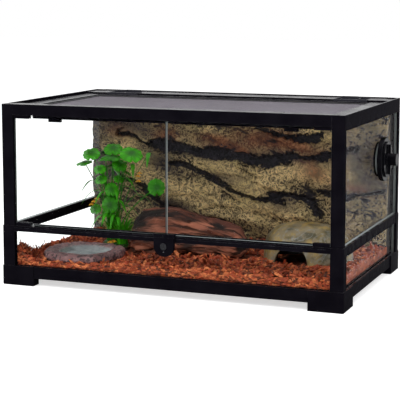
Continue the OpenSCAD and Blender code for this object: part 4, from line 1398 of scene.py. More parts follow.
@dataclass
class BarkBed:
    """Bark bedding: a bed painted dark as the shade between chips, with thousands of loose chips on it and
    against the glass.
    """

    shop: Workshop
    ground: Ground
    noise: Noise
    cols: int = 230
    rows: int = 130
    chips: int = 3400
    edge_chips: int = 1350
    shreds: int = 260
    corners: int = 5
    rail_top: float = 29.0
    right_limit: float = 500.6
    back_limit: float = 309.5

    def build(self) -> None:
        """Makes the bed, then the chips in two pieces."""
        self.shop.piece("bark_bed", self.bed(), BARK, replaced="bark_bedding")
        self.shop.piece("bark_chips", self.scattered(), BARK, crease=25)
        self.shop.piece("bark_chips_at_glass", self.against_glass(), BARK, crease=25)

    def bed(self) -> Surface:
        """The ground a little lower than the CAD's, roughened by noise, closed underneath.

        Returns:
            The bed, with a low tone that paints it dark as the shade between the chips.
        """
        g = self.ground
        x, y = grid(np.linspace(*g.x, self.cols), np.linspace(*g.y, self.rows))
        rough = self.noise.layers(xyz(x / 5, y / 5, 0), 3)
        rings = np.zeros((self.cols, self.rows + 2, 3))
        rings[:, 1:-1] = xyz(x, y, g.height(x, y) - 2.6 + 2.2 * rough)
        for end in (0, -1):
            rings[:, end] = xyz(x[:, end], y[:, end], g.floor)
        # Painted shade: the bed's low tone keeps it dark where it shows between the chips
        tone = np.full(rings.shape[:2], 0.10)
        tone[:, 1:-1] = 0.05 + 0.22 * rough
        return lofted(rings, tone=tone)

    def held_in(self, points: Array) -> Array:
        """Holds points inside the glass, and inside the rails where they are lower than those.

        Args:
            points: Points, (n, 3), which are changed.

        Returns:
            The points.
        """
        above = points[:, 2] > self.rail_top
        points[:, 0] = np.clip(points[:, 0], np.where(above, 9.4, self.ground.x[0]), self.right_limit)
        points[:, 1] = np.clip(points[:, 1], np.where(above, 7.6, self.ground.y[0]), self.back_limit)
        points[:, 2] = np.maximum(points[:, 2], self.ground.floor + 0.1)
        return points

    def flakes(self, centre: Array, size: Array, lean: Array, turn: Array, tone: Array, seed: int) -> Surface:
        """Chips as five-cornered flakes, all worked out at once.

        A flake is an uneven ring of points on each of its two sides, set apart by its
        thickness, then leant about its length and turned about the vertical.

        Args:
            centre: Middle of each flake, (n, 3).
            size: Half length, half width and half thickness of each, (n, 3).
            lean: Lean of each about its length and its width, in radians, (n, 2).
            turn: Turn of each about the vertical, in radians, (n,).
            tone: Tone of each, from 0, dark, to 1, light, (n,).
            seed: Seed of the unevenness.

        Returns:
            All the flakes as one surface.
        """
        count, n = len(centre), self.corners
        chance = np.random.default_rng(seed)
        angle = (np.arange(n) + chance.uniform(-0.28, 0.28, (count, n))) * FULL_TURN / n
        reach = chance.uniform(0.72, 1.1, (count, n))
        local = np.zeros((count, 2, n, 3))
        local[..., 0] = (size[:, :1] * reach * np.cos(angle))[:, None]
        local[..., 1] = (size[:, 1:2] * reach * np.sin(angle))[:, None]
        local[:, 0, :, 2] = -size[:, 2:3] * chance.uniform(0.5, 1.2, (count, n))
        local[:, 1, :, 2] = size[:, 2:3] * chance.uniform(0.3, 1.3, (count, n))
        local[:, 1, :, :2] *= chance.uniform(0.6, 0.95, (count, 1, 1))
        bend = chance.uniform(-0.5, 0.5, (count, 1, 1)) * (local[..., 0] / size[:, 0, None, None]) ** 2
        local[..., 2] += bend * size[:, 1, None, None]
        flat = local.reshape(count, 2 * n, 3)
        for axis, other, by in ((1, 2, lean[:, 0]), (2, 0, lean[:, 1]), (0, 1, turn)):
            a, b = flat[..., axis].copy(), flat[..., other].copy()
            cos, sin = np.cos(by)[:, None], np.sin(by)[:, None]
            flat[..., axis] = a * cos - b * sin
            flat[..., other] = a * sin + b * cos
        points = self.held_in((flat + centre[:, None]).reshape(-1, 3))
        k = np.arange(n)
        side = np.stack([k, (k + 1) % n, n + (k + 1) % n, n + k], -1)
        first = 2 * n * np.arange(count)[:, None]
        ends = np.concatenate([k[::-1] + first, n + k + first])
        sides = (side + first[..., None]).reshape(-1, 4)
        return Surface(points, [sides, ends], {"tone": np.repeat(tone, 2 * n)})

    @staticmethod
    def drawn(chance: np.random.Generator, count: int, *ranges: tuple[float, float]) -> Array:
        """Random sizes, (count, 3), each column evenly from its range."""
        return np.stack([chance.uniform(low, high, count) for low, high in ranges], -1)

    def scattered(self) -> Surface:
        """Chips over the ground, thinned out under what stands on it, and shreds on the mound.

        Returns:
            All of them as one surface.
        """
        g = self.ground
        chance = np.random.default_rng(21)
        x = chance.uniform(g.x[0] + 2, g.x[1] - 2, self.chips)
        y = g.y[0] + (g.y[1] - g.y[0] - 2) * chance.random(self.chips) ** 1.15
        under = g.from_log(x, y) < 23
        for pad, share in ((g.dish, 0.93), (g.hide, 0.90), (g.plant, 0.7), (g.grass, 0.7)):
            under |= np.hypot((x - pad[0]) / pad[2], (y - pad[1]) / pad[3]) < share
        x, y = x[~under], y[~under]
        count = len(x)
        size = self.drawn(chance, count, (5.5, 11.5), (1.9, 3.9), (0.9, 1.8))
        lean = chance.normal(0, 0.42, (count, 2))
        lift = chance.uniform(-1.0, 3.2, count) + 2.2 * np.abs(np.sin(lean[:, 1]))
        turn, tone = chance.uniform(0, FULL_TURN, count), chance.beta(1.6, 1.5, count)
        chips = self.flakes(xyz(x, y, g.height(x, y) + lift), size, lean, turn, tone, 22)
        return joined([chips, self.mound_shreds(chance)])

    def mound_shreds(self, chance: np.random.Generator) -> Surface:
        """Thin dark shreds that stand up out of the corner mound.

        Args:
            chance: The chips' random numbers, which go on here.

        Returns:
            The shreds.
        """
        count = self.shreds
        x = np.clip(10 + np.abs(chance.normal(0, 11, count)), 11, 40)
        y = np.clip(chance.normal(46, 22, count), 12, 110)
        size = self.drawn(chance, count, (4, 9), (0.8, 1.9), (0.3, 0.7))
        lean = np.stack([chance.normal(0, 0.5, count), chance.normal(0, 0.75, count)], -1)
        z = self.ground.height(x, y) + 1.5 + 3.5 * np.abs(np.sin(lean[:, 1]))
        turn, tone = chance.uniform(0, FULL_TURN, count), chance.beta(1.4, 2.0, count)
        return self.flakes(xyz(x, y, z), size, lean, turn, tone, 23)

    def against_glass(self) -> Surface:
        """Chips that lie against the front and side panes, from the rail up to the ground.

        Returns:
            The chips.
        """
        chance = np.random.default_rng(31)
        count = self.edge_chips
        front = chance.random(count) < 0.5
        right = chance.random(count) < 0.6
        x = np.where(front, chance.uniform(14, 496, count), np.where(right, 500.2, 9.8))
        y = np.where(front, 9.6, chance.uniform(14, 284, count))
        z = blend(24.0, self.ground.height(x, y) + 1.0, chance.random(count) ** 0.8)
        size = self.drawn(chance, count, (5.0, 10.5), (1.9, 3.9), (0.4, 1.1))
        lean = np.stack([1.2 + chance.normal(0, 0.35, count), chance.normal(0, 0.35, count)], -1)
        turn = np.where(front, 0.0, math.pi / 2) + chance.normal(0, 0.3, count)
        return self.flakes(xyz(x, y, z), size, lean, turn, chance.beta(1.7, 1.4, count), 32)


@dataclass
class RockWall:
    """Carved and painted rock over the whole back wall.

    Attributes:
        foot: Level of the lowest carved row; below it the face is plain.
    """

    shop: Workshop
    noise: Noise
    x: tuple[float, float] = (10.4, 499.6)
    z: tuple[float, float] = (20.0, 242.5)
    foot: float = 30.0
    face_y: float = 287.6
    back_y: float = 307.6
    relief: float = 15.0
    cols: int = 430
    rows: int = 190

    # Width of each cleft, carved in and darkened with painted shade, and the x and z of its line's points
    CREVICES = (
        (9, ((120, 181), (150, 176), (199, 172), (235, 168.5), (290, 165), (318, 163.5))),
        (7, ((318, 163.5), (364, 171), (402, 176), (452, 186))),
        (6.5, ((212, 133), (231, 122), (259, 111), (291, 101.5), (347, 106), (382, 96), (392, 84))),
        (8, ((96, 112), (128, 86), (160, 70))),
        (5, ((60, 204), (104, 178), (120, 181))),
        (5, ((300, 214), (352, 204), (396, 200))),
        (5.5, ((152, 150), (186, 138), (212, 133))),
        (5, ((392, 120), (440, 112), (496, 128))),
        (4.5, ((30, 160), (62, 128), (96, 112))),
    )
    # Middle x and z, half width and half height of each patch of paint
    OCHRE_ZONES = (
        (292, 122, 44, 17), (229, 146, 44, 15), (352, 150, 52, 14), (78, 186, 28, 14), (95, 142, 26, 20),
        (300, 88, 60, 22), (215, 205, 26, 7), (400, 206, 24, 9), (424, 156, 24, 20), (200, 100, 34, 20),
        (150, 110, 18, 12),
    )
    SLATE_AND_END_SHADE_ZONES = (
        (70, 208, 60, 24), (128, 152, 34, 20), (190, 168, 44, 8), (262, 172, 60, 8), (352, 168, 56, 9),
        (238, 132, 26, 13), (330, 98, 34, 13), (452, 168, 50, 12), (40, 132, 26, 18), (150, 86, 40, 16),
        # The last two ovals darken the wall's two ends as painted shade
        (476, 165, 42, 80), (10, 150, 16, 90),
    )
    RUST_ZONES = (
        (226, 190, 34, 10), (296, 193, 44, 12), (362, 188, 44, 12), (140, 196, 20, 16), (388, 150, 26, 14),
        (262, 178, 30, 7), (60, 200, 22, 10), (330, 205, 34, 9), (455, 128, 24, 9),
    )

    def build(self) -> None:
        """Carves the wall in one piece."""
        self.shop.piece("rock_wall", self.wall(), ROCK_PAINT, replaced="rock_background", crease=75)

    @staticmethod
    def zone(x: Array, z: Array, zones: Iterable[Sequence[float]]) -> Array:
        """Sum of soft ovals, each falling off with the square of the distance, held to 1.

        Args:
            x: Places across the wall.
            z: Places up the wall.
            zones: Middle x and z, half width and half height of each oval.

        Returns:
            How far each place is in a zone, from 0 to 1.
        """
        total = np.zeros_like(x)
        for cx, cz, rx, rz in zones:
            total = total + np.exp(-(((x - cx) / rx) ** 2) - ((z - cz + 0.16 * (x - cx)) / rz) ** 2)
        return np.clip(total, 0, 1)

    def crevices(self, x: Array, z: Array) -> Array:
        """Depth of the clefts, which the wall carves in and darkens with painted shade: a bell across the
        distance to each broken line.

        Args:
            x: Places across the wall.
            z: Places up the wall.

        Returns:
            The depth at each place, from 0 to 1.
        """
        deep = np.zeros_like(x)
        for width, line in self.CREVICES:
            for start, end in zip(line[:-1], line[1:]):
                deep = np.maximum(deep, np.exp(-((from_line(x, z, start, end) / width) ** 2)))
        return deep

    def wall(self) -> Surface:
        """Face of strata that fall to the right, clefts and fibres, with a flat back.

        The relief is a share of ridged noise stretched along the strata, plus finer layers,
        less the clefts; the face stands out from its plane by relief times that share. The
        crest_light_and_shade value is painted light and shade: it is high on raised parts, and
        it drops in the clefts and where the share grows upwards, which is under a ledge.

        Returns:
            The wall, with the values that its paint goes by.
        """
        xs = np.linspace(*self.x, self.cols)
        x, z = grid(xs, np.linspace(self.foot, self.z[1], self.rows))
        layers, ridges = self.noise.layers, self.noise.ridges
        warp = 16 * (layers(xyz(x / 60, z / 45, 4), 3) - 0.5)
        along = 0.97 * x - 0.22 * z + warp
        across = 0.22 * x + 0.97 * z + 1.3 * warp
        big = ridges(xyz(along / 95, across / 34, 0), 2)
        ledge = layers(xyz(along / 48, across / 15, 9), 3)
        knobs = layers(xyz(along / 16, across / 9, 2), 4)
        fibre = ridges(xyz(along / 4.2 + 3 * knobs, across / 3.2, 5), 2)
        cleft = self.crevices(x + 26 * (knobs - 0.5), z + 22 * (ledge - 0.5) + 7 * (fibre - 0.6))
        cleft = ease((cleft + 0.5 * (knobs - 0.5) - 0.25) / 0.5)
        ochre = self.zone(x, z, self.OCHRE_ZONES)
        share = 0.36 * big + 0.34 * ease((ledge - 0.28) / 0.4) + 0.20 * knobs + 0.16 * ochre
        share = np.clip(share * (1 - 0.86 * cleft) + 0.07 * (fibre - 0.5), 0, 1)
        rise = ease((z - self.foot) / 40)
        rings = np.zeros((self.cols, self.rows + 3, 3))
        rings[:, 1:-2] = xyz(x, self.face_y - self.relief * share * (0.35 + 0.65 * rise), z)
        ends = ((0, self.face_y, self.z[0]), (-2, self.back_y, self.z[1]), (-1, self.back_y, self.z[0]))
        for place, y, level in ends:
            rings[:, place] = xyz(xs, y, level)
        # Painted shade: the crest value drops under ledges, where the share grows upwards, and in the clefts;
        # raised parts take dry brushed paint and painted light
        under = np.clip(9 * np.gradient(share, axis=1), -0.5, 1.2)
        crest_light_and_shade = 0.42 + 1.0 * (share - 0.42) + 0.6 * (knobs - 0.4) + 0.22 * ochre - 0.75 * cleft - 0.6 * under
        shifted = x + 14 * warp / 16, z + 10 * (ledge - 0.5)
        rust, slate_and_shade = (self.zone(*shifted, group) for group in (self.RUST_ZONES, self.SLATE_AND_END_SHADE_ZONES))
        paints = np.zeros((4,) + rings.shape[:2])
        paints[0] = 0.1
        paints[:, :, 1:-2] = np.stack([np.clip(crest_light_and_shade, 0, 1), ochre, rust, slate_and_shade])
        return lofted(rings, **dict(zip(("crest_light_and_shade", "ochre", "rust", "slate_and_shade"), paints)))


@dataclass
class WaterDish:
    """Angular cast stone dish with a smooth basin."""

    shop: Workshop
    ground: Ground
    noise: Noise
    height: float = 14.0
    around: int = 216
    steps: int = 70

    # The dish's corners as shares of its half width and half depth
    OUTLINE = (
        (-1, -0.35), (-0.7, -0.88), (-0.1, -1), (0.6, -0.9), (0.84, -0.6), (1, -0.1),
        (0.9, 0.56), (0.48, 0.92), (-0.1, 1), (-0.6, 0.92), (-0.88, 0.7), (-1, 0.3),
    )
    # Share of the outline, share of the height, and how far the basin's finish applies
    PROFILE = (
        (0.5, 0, 0), (0.88, 0, 0), (0.955, 0.12, 0), (0.99, 0.28, 0), (1, 0.42, 0), (0.995, 0.6, 0),
        (0.985, 0.78, 0), (0.96, 0.91, 0), (0.92, 0.975, 0), (0.86, 1, 0), (0.78, 0.99, 0),
        (0.70, 0.965, 0.02), (0.645, 0.90, 0.35), (0.61, 0.74, 1), (0.57, 0.58, 1), (0.50, 0.46, 1),
        (0.40, 0.38, 1), (0.25, 0.365, 1), (0.08, 0.36, 1),
    )

    def build(self) -> None:
        """One closed piece."""
        self.shop.piece("stone_dish", self.bowl(), DISH_STONE, replaced="water_dish", crease=80)

    def reach(self, ray: Array) -> Array:
        """The outline's radius in each direction: where that ray meets its edge, then smoothed.

        Args:
            ray: Directions as (n, 2) of length 1.

        Returns:
            The radius in each.
        """
        corner = np.array(self.OUTLINE)
        edge = np.roll(corner, -1, axis=0) - corner
        cross = ray[:, None, 0] * edge[None, :, 1] - ray[:, None, 1] * edge[None, :, 0]
        reach = (corner[:, 0] * edge[:, 1] - corner[:, 1] * edge[:, 0])[None] / cross
        hit = reach[..., None] * ray[:, None] - corner[None]
        share = np.einsum("nke,ke->nk", hit, edge) / np.einsum("ke,ke->k", edge, edge)[None]
        radius = np.where((reach > 0) & (share > -1e-9) & (share < 1 + 1e-9), reach, 0).max(axis=1)
        return sum(np.roll(radius, k) for k in (0, 1, -1, 2, -2)) / 5

    def bowl(self) -> Surface:
        """A profile of share and height carried round the twelve-cornered outline.

        Noise roughens the outside and fades into the basin.

        Returns:
            The dish, with its basin value.
        """
        turn = turns(self.around)
        ray = np.stack([np.cos(turn), np.sin(turn)], -1)
        radius = self.reach(ray)
        steps = np.linspace(0, len(self.PROFILE) - 1, self.steps)
        known = np.arange(len(self.PROFILE))
        out, rise, basin = (np.interp(steps, known, column)[:, None] for column in zip(*self.PROFILE))
        cx, cy, hx, hy, z0 = self.ground.dish
        x = hx * out * radius * ray[:, 0]
        y = hy * out * radius * ray[:, 1]
        z = z0 + SEAT + self.height * rise
        where = xyz(x, y, z)
        rough = self.noise.layers(where / 6.5, 4) + 0.8 * self.noise.ridges(where / 15, 2) - 0.95
        power = 4.2 * (1 - 0.93 * basin) * ease(steps / 8)[:, None] * rough
        long = 1 + power / (np.hypot(x, y) + 6)
        lifted = z + np.where(rise > 0.8, 0.7, 0.15) * power
        points = xyz(cx + x * long, cy + y * long, np.clip(lifted, z0 + SEAT, z0 + self.height + 1.6))
        return poled(points, basin=basin)


@dataclass
class Log:
    """Driftwood: a tapering trunk with long folds and a hollow at its thick end."""

    shop: Workshop
    ground: Ground
    noise: Noise
    steps: int = 210
    sides: int = 150

    def build(self) -> None:
        """One closed piece."""
        self.shop.piece("driftwood_log", self.trunk(), LOG_WOOD, replaced="driftwood", crease=80)

    @staticmethod
    def oval(t: Array, around: Array, middle: float, spread: float, width: float) -> Array:
        """A bell along the log times a bell round it, about the middle of a turn.

        Args:
            t: Share of the way along.
            around: Direction round the log, in radians.
            middle: Middle along it.
            spread: Half width along it.
            width: Half width round it, in radians.

        Returns:
            The product of the two bells.
        """
        away = np.mod(around, FULL_TURN) - math.pi
        return np.exp(-(((t - middle) / spread) ** 2) - (away / width) ** 2)

    def trunk(self) -> Surface:
        """Rings across the log's bent line, with flutes, folds and a hollow pressed in.

        A ring's radius is the taper times one plus flutes, which are noise stretched along
        the log, less a deep oval bell on the side that faces the front.

        Returns:
            The log, with its unbent places and a hollow value that paints shade in its hollow, slit and
            creases.
        """
        x0, y0, x1, y1, thick, rest = self.ground.log
        t, a = grid(np.linspace(0, 1, self.steps), turns(self.sides))
        start, run = np.array([x0, y0]), np.array([x1 - x0, y1 - y0])
        length = math.hypot(*run)
        ahead = run / length
        side = np.array([-ahead[1], ahead[0]])
        taper = thick * np.where(t < 0.08, 0.72 + 3.5 * t, 1 - 0.42 * np.clip((t - 0.08) / 0.92, 0, 1) ** 1.6)
        degrees = np.degrees(a)
        lobes = 0.09 * np.sin(np.radians(3 * degrees + 200 * t))
        lobes = lobes + 0.05 * np.sin(np.radians(5 * degrees - 400 * t))
        unbent = xyz(length * t, taper * np.cos(a), taper * np.sin(a))
        swirl = unbent + 9 * (self.noise.layers(unbent / 30, 2)[..., None] - 0.5)
        folds = self.noise.ridges(swirl / np.array([46, 10, 10]), 3)
        grain = self.noise.ridges(unbent / np.array([30, 3.0, 3.0]), 2)
        around = a + math.pi / 2
        bell = self.oval(t, around - 0.85, 0.08, 0.13, 0.55)
        slit = self.oval(t, around - 1.9 + 0.5 * t, 0.60, 0.30, 0.10)
        press = np.clip(0.55 * bell + 0.20 * slit, 0, 0.6)
        ragged = ease(t / 0.03) * ease((1 - t) / 0.05) * 0.45 + 0.55
        hump = 0.26 * np.exp(-(((t - 0.36) / 0.22) ** 2)) * np.clip(np.sin(a), 0, 1) ** 2
        r = taper * (1 + lobes + hump + 0.42 * (folds - 0.62) + 0.05 * (grain - 0.6)) * (1 - press) * ragged
        middle = start + (np.array([x1, y1]) - start) * t[..., None]
        middle = middle + side * 7 * np.sin(math.pi * t)[..., None]
        wide = 1.05 * r * np.cos(a)
        z = np.maximum(rest + SEAT + 0.92 * taper + r * np.sin(a), rest + SEAT)
        tip = (6 * self.noise.layers(xyz(a * 1.3, 0, 0), 2) - 3) * (t > 0.96)
        points = np.concatenate([middle + side * wide[..., None] + ahead * tip[..., None], z[..., None]], -1)
        # Painted shade: dark in the hollow at the thick end, in the slit and between the folds
        hollow = np.clip(1.15 * bell + 0.9 * slit + 1.2 * ease((0.62 - folds) / 0.22), 0, 1)
        return poled(points, unbent=unbent * MM, hollow=hollow)


@dataclass
class Hide:
    """Cave hide: a hollow dome of cast stone with an arched mouth at the front."""

    shop: Workshop
    ground: Ground
    noise: Noise
    height: float = 56.0
    wall: float = 6.0
    mouth_x: float = -8.0
    mouth_w: float = 50.0
    mouth_h: float = 28.0
    around: int = 240
    steep: float = 0.85

    def build(self) -> None:
        """One closed piece with an outer and an inner wall."""
        self.shop.piece("stone_hide", self.shell(), HIDE_STONE, replaced="cave_hide", crease=60)

    def skin(self, turn: Array, lift: Array, inset: float) -> Array:
        """The dome's surface: a squashed hemisphere whose radius swells and pinches round it.

        Args:
            turn: Direction round the dome, in degrees.
            lift: Angle above the ground, in degrees.
            inset: How far inside the outer skin.

        Returns:
            Points in corner millimetres.
        """
        cx, cy, rx, ry, z0 = self.ground.hide
        flat = np.cos(np.radians(lift)) ** 0.62
        swell = 0.035 * np.sin(np.radians(3 * turn + 20)) + 0.03 * np.sin(np.radians(5 * turn - 3 * lift))
        lump = 1 + swell * flat
        x = cx + (rx - inset) * 0.93 * lump * flat * np.cos(np.radians(turn))
        y = cy + (ry - inset) * 0.93 * lump * flat * np.sin(np.radians(turn))
        z = z0 + SEAT + (self.height - inset) * np.sin(np.radians(lift)) ** self.steep
        return xyz(x, y, z)

    def shell(self) -> Surface:
        """Outer rows from the top down to the rim, then inner rows back up.

        The rim is on the ground, and over the mouth it rises in a half ellipse: each
        direction's lowest angle is the one at which the skin reaches the arch.

        Returns:
            The hide, with a value that marks its inner wall, which its finish paints in shade.
        """
        centre = np.array([self.ground.hide[k] for k in (0, 1, 4)])
        turn = np.arange(self.around) * 360 / self.around
        share = np.linspace(0.995, 0.0, 42)
        rows, dark = [], []
        for inset, steps in ((0.0, share), (self.wall, share[::-1][::3])):
            foot = self.skin(turn, np.full_like(turn, 1.0), inset)
            away = (foot[:, 0] - centre[0] - self.mouth_x) / (self.mouth_w / 2)
            arch = self.mouth_h * np.sqrt(np.clip(1 - np.abs(away) ** 2.4, 0, 1)) * (foot[:, 1] < centre[1])
            low = np.degrees(np.arcsin(np.clip(arch / (self.height - inset), 0, 1) ** (1 / self.steep)))
            lift = low[None] + (88.0 - low[None]) * steps[:, None]
            rows.append(self.skin(np.broadcast_to(turn, lift.shape), lift, inset))
            # The inner wall's value, which the finish paints as shade
            dark.append(np.full(lift.shape, 1.0 if inset else 0.0))
        outer, inner = rows
        away = outer - centre
        bumps = self.noise.layers(outer / 26, 4) - 0.62 + 0.5 * (self.noise.ridges(outer / 40, 2) - 0.85)
        strength = 5.0 * np.minimum(1, share * 9 + 0.15)[:, None] * np.minimum(bumps, 0.12)
        outer = outer + away / np.linalg.norm(away, axis=-1, keepdims=True) * strength[..., None]
        outer[..., 2] = np.maximum(outer[..., 2], centre[2] + SEAT)
        return poled(np.concatenate([outer, inner]), inner=np.concatenate(dark))


def rooted(pad: Sequence[float], top: float, radii: Sequence[float], sides: int) -> Surface:
    """A plant's foot: a low round block on its level place.

    Args:
        pad: The plant's place in the ground.
        top: Height of the foot.
        radii: Radius at its foot, at its waist and at its top.
        sides: Points in a ring.

    Returns:
        The foot, with a dark tone.
    """
    cx, cy, _, _, z0 = pad
    path = xyz(cx, cy, np.array([z0 + 0.3, z0 + 2.5, z0 + top]))
    return tube(path, np.array(radii), sides).with_values(tone=0.15, rim=0.2, vein=0.0)


def spun(surface: Surface, angles: Sequence[float], middle: Array, scale: float = 1.0) -> Surface:
    """Scales a surface, turns it and moves it to its middle.

    Args:
        surface: The surface, which is changed.
        angles: Turns about x, y and z, in radians.
        middle: Where its origin goes.
        scale: Factor of its size.

    Returns:
        The surface.
    """
    turned = np.array(Euler(angles).to_matrix())
    surface.points = scale * surface.points @ turned.T + middle
    return surface


@dataclass
class LeafyPlant:
    """Plastic plant with scalloped round leaves, strap leaves and small flowers."""

    shop: Workshop
    ground: Ground

    # Leaf middle x, y and z, radius, and how far it tips and turns, in degrees
    LEAVES = (
        (66, 158, 178, 12.0, 37, 285), (54, 157, 164, 10.0, 14, 255), (102, 160, 187, 13.0, 33, 290),
        (104, 150, 176, 14.0, 15, 295), (134, 157, 181, 15.5, 31, 305), (117, 152, 163, 10.0, 43, 310),
        (83, 152, 155, 8.6, 48, 280), (84, 153, 139, 8.6, 50, 270), (103, 150, 125, 8.8, 58, 290),
        (103, 144, 101, 11.0, 74, 288), (76, 148, 93, 9.0, 66, 262), (177, 155, 131, 12.2, 74, 312),
        (84, 172, 172, 11.0, 20, 200), (116, 180, 172, 11.0, 12, 60), (92, 178, 160, 9.0, 30, 160),
        (120, 172, 150, 8.0, 30, 20), (74, 170, 150, 8.0, 34, 210), (98, 160, 112, 7.5, 60, 300),
        (112, 160, 140, 7.5, 50, 320), (92, 156, 88, 7.5, 66, 270),
    )
    # Middle x, y and z of each strap leaf and the way it points, in degrees
    STRAPS = (
        (163, 155, 174, -75), (138, 153, 156, -65), (150, 160, 110, 20), (132, 154, 122, 10),
        (118, 152, 100, -30), (128, 156, 92, 15), (70, 156, 112, 200), (86, 152, 112, 250),
        (112, 150, 116, -60), (126, 162, 134, -20), (64, 158, 128, 180), (96, 170, 146, 60),
        (78, 172, 140, 110), (94, 148, 80, 268), (84, 148, 76, 240), (108, 146, 78, 280),
        (116, 146, 74, 300),
    )
    FLOWERS = (
        (148, 155, 153), (147, 153, 141), (145, 156, 148), (79, 150, 111), (69, 152, 101), (74, 150, 106),
        (103, 143, 64), (104, 142, 46), (111, 141, 48),
    )

    def build(self) -> None:
        """Stems and leaves in one piece, and the flowers in another."""
        self.shop.piece("leafy_plant_leaves", self.foliage(), LEAF, replaced="leafy_plant", crease=70)
        flowers = joined([self.flower(np.array(place, float), k) for k, place in enumerate(self.FLOWERS)])
        self.shop.piece("leafy_plant_flowers", flowers, PETAL, crease=70)

    def stem(self, tip: Array, start: Array, width: float, tone: float) -> Surface:
        """A round stem: rises straight, then bends over to its tip as its share to the power 1.8.

        Args:
            tip: Where it ends.
            start: Where it starts.
            width: Its radius at the start.
            tone: Its tone.

        Returns:
            The stem.
        """
        t = np.linspace(0, 1, 12)
        path = blend(start, tip, xyz(t**1.8, t**1.8, t))
        return tube(path, blend(width, 0.6 * width, t), 6).with_values(tone=tone, rim=0.55, vein=0.0)

    @staticmethod
    def sheet(x: Array, y: Array, z: Array, thick: float) -> Array:
        """Rings of a thin sheet: its upper skin, then its under skin from the rim back in."""
        return np.concatenate([xyz(x, y, z), xyz(x, y, z - thick)[::-1]])

    def leaf(self, middle: Array, radius: float, tip: float, turn: float, tone: float, seed: int) -> Surface:
        """A round leaf: a shallow scalloped dish of two skins that meet at its rim.

        The rim's radius swells 11 times round it and is notched at the stem; the height falls
        with the square of the radius and ripples towards the rim.

        Args:
            middle: The leaf's middle.
            radius: Its radius.
            tip: How far it tips, in degrees.
            turn: Which way it tips, in degrees.
            tone: Its tone.
            seed: A number that varies its width and ripples.

        Returns:
            The leaf.
        """
        a = turns(60)
        share = np.linspace(0.04, 1, 9)[:, None]
        notch = 0.28 * np.exp(-((np.mod(a + math.pi, FULL_TURN) - math.pi) / 0.16) ** 2)
        scallop = 1 + 0.18 * np.abs(np.sin(5.5 * a)) ** 0.6 - notch
        reach = radius * share * (1 + (scallop - 1) * share**1.5)
        x, y = reach * np.cos(a) * (1.0 + 0.18 * math.sin(seed * 1.7)), reach * np.sin(a)
        z = -0.26 * radius * share**2 + 0.05 * radius * np.sin(5 * a + seed) * share**2
        rings = self.sheet(x, y, z, 0.45)
        rings[len(share), :, 2] = z[-1] - 0.12
        rim = np.concatenate([share, share[::-1]])
        made = poled(rings, rim=rim, vein=np.maximum(0, np.cos(5.5 * a - math.pi / 2) ** 8) * rim)
        return spun(made, (0, math.radians(tip), math.radians(turn)), middle).with_values(tone=tone)

    def strap(self, root: Array, tip: Array, width: float, tone: float) -> Surface:
        """A narrow leaf: a flattened tube that is widest a third of the way and ends in a point.

        Args:
            root: Where it starts.
            tip: Where it ends.
            width: Half its greatest width.
            tone: Its tone.

        Returns:
            The leaf.
        """
        t = np.linspace(0, 1, 14)
        path = root + (tip - root) * t[:, None]
        path[:, 2] += 0.22 * np.linalg.norm(tip - root) * np.sin(math.pi * t)
        wide = width * np.sin(math.pi * np.clip(0.06 + 0.92 * t, 0, 1) ** 0.75) + 0.15
        return tube(path, wide, 8, 0.16).with_values(tone=tone, rim=0.8, vein=0.2)

    def foliage(self) -> Surface:
        """A foot, a stem to every leaf, the leaves, and straps that spring from the stems.

        Returns:
            All of them as one surface.
        """
        chance = np.random.default_rng(5)
        cx, cy, _, _, z0 = self.ground.plant
        parts = [rooted(self.ground.plant, 5.5, (16.5, 16, 13), 24)]
        for k, (x, y, z, radius, tip, turn) in enumerate(self.LEAVES):
            middle = np.array([x, y, z], float)
            start = np.array([cx + 9 * math.cos(k * 2.4), cy + 8 * math.sin(k * 2.4), z0 + 3])
            parts.append(self.stem(middle, start, 1.25, chance.uniform(0.3, 0.7)))
            parts.append(self.leaf(middle, radius, tip, turn, chance.uniform(0.50, 1.0), k))
        for k, (x, y, z, turn) in enumerate(self.STRAPS):
            heading = np.array([math.cos(math.radians(turn)), math.sin(math.radians(turn)), -0.75])
            root = np.array([x, y, z], float) - 10 * heading
            start = np.array([cx + 7 * math.cos(k * 1.9), cy + 6 * math.sin(k * 1.9), z0 + 3])
            parts.append(self.stem(root, start, 0.9, 0.45))
            tip = root + chance.uniform(22, 32) * heading
            parts.append(self.strap(root, tip, chance.uniform(2.2, 3.4), chance.uniform(0.5, 0.95)))
        return joined(parts)

    def flower(self, middle: Array, seed: int) -> Surface:
        """Five petals, each a small cupped oval of two skins, set round their middle.

        Args:
            middle: The flower's middle.
            seed: A number that varies its lean and turn.

        Returns:
            The flower.
        """
        petals = []
        a = turns(12)
        share = np.linspace(0.1, 1, 4)[:, None]
        x, y = 1.7 + 1.7 * share * np.cos(a), 1.25 * share * np.sin(a)
        for k in range(5):
            petal = poled(self.sheet(x, y, 0.22 * x**1.5, 0.35), rim=np.concatenate([x, x[::-1]]) / 3.4)
            petals.append(spun(petal, (0.5 * math.sin(seed), 0.9, k * FULL_TURN / 5 + seed), middle, 1.5))
        return joined(petals)


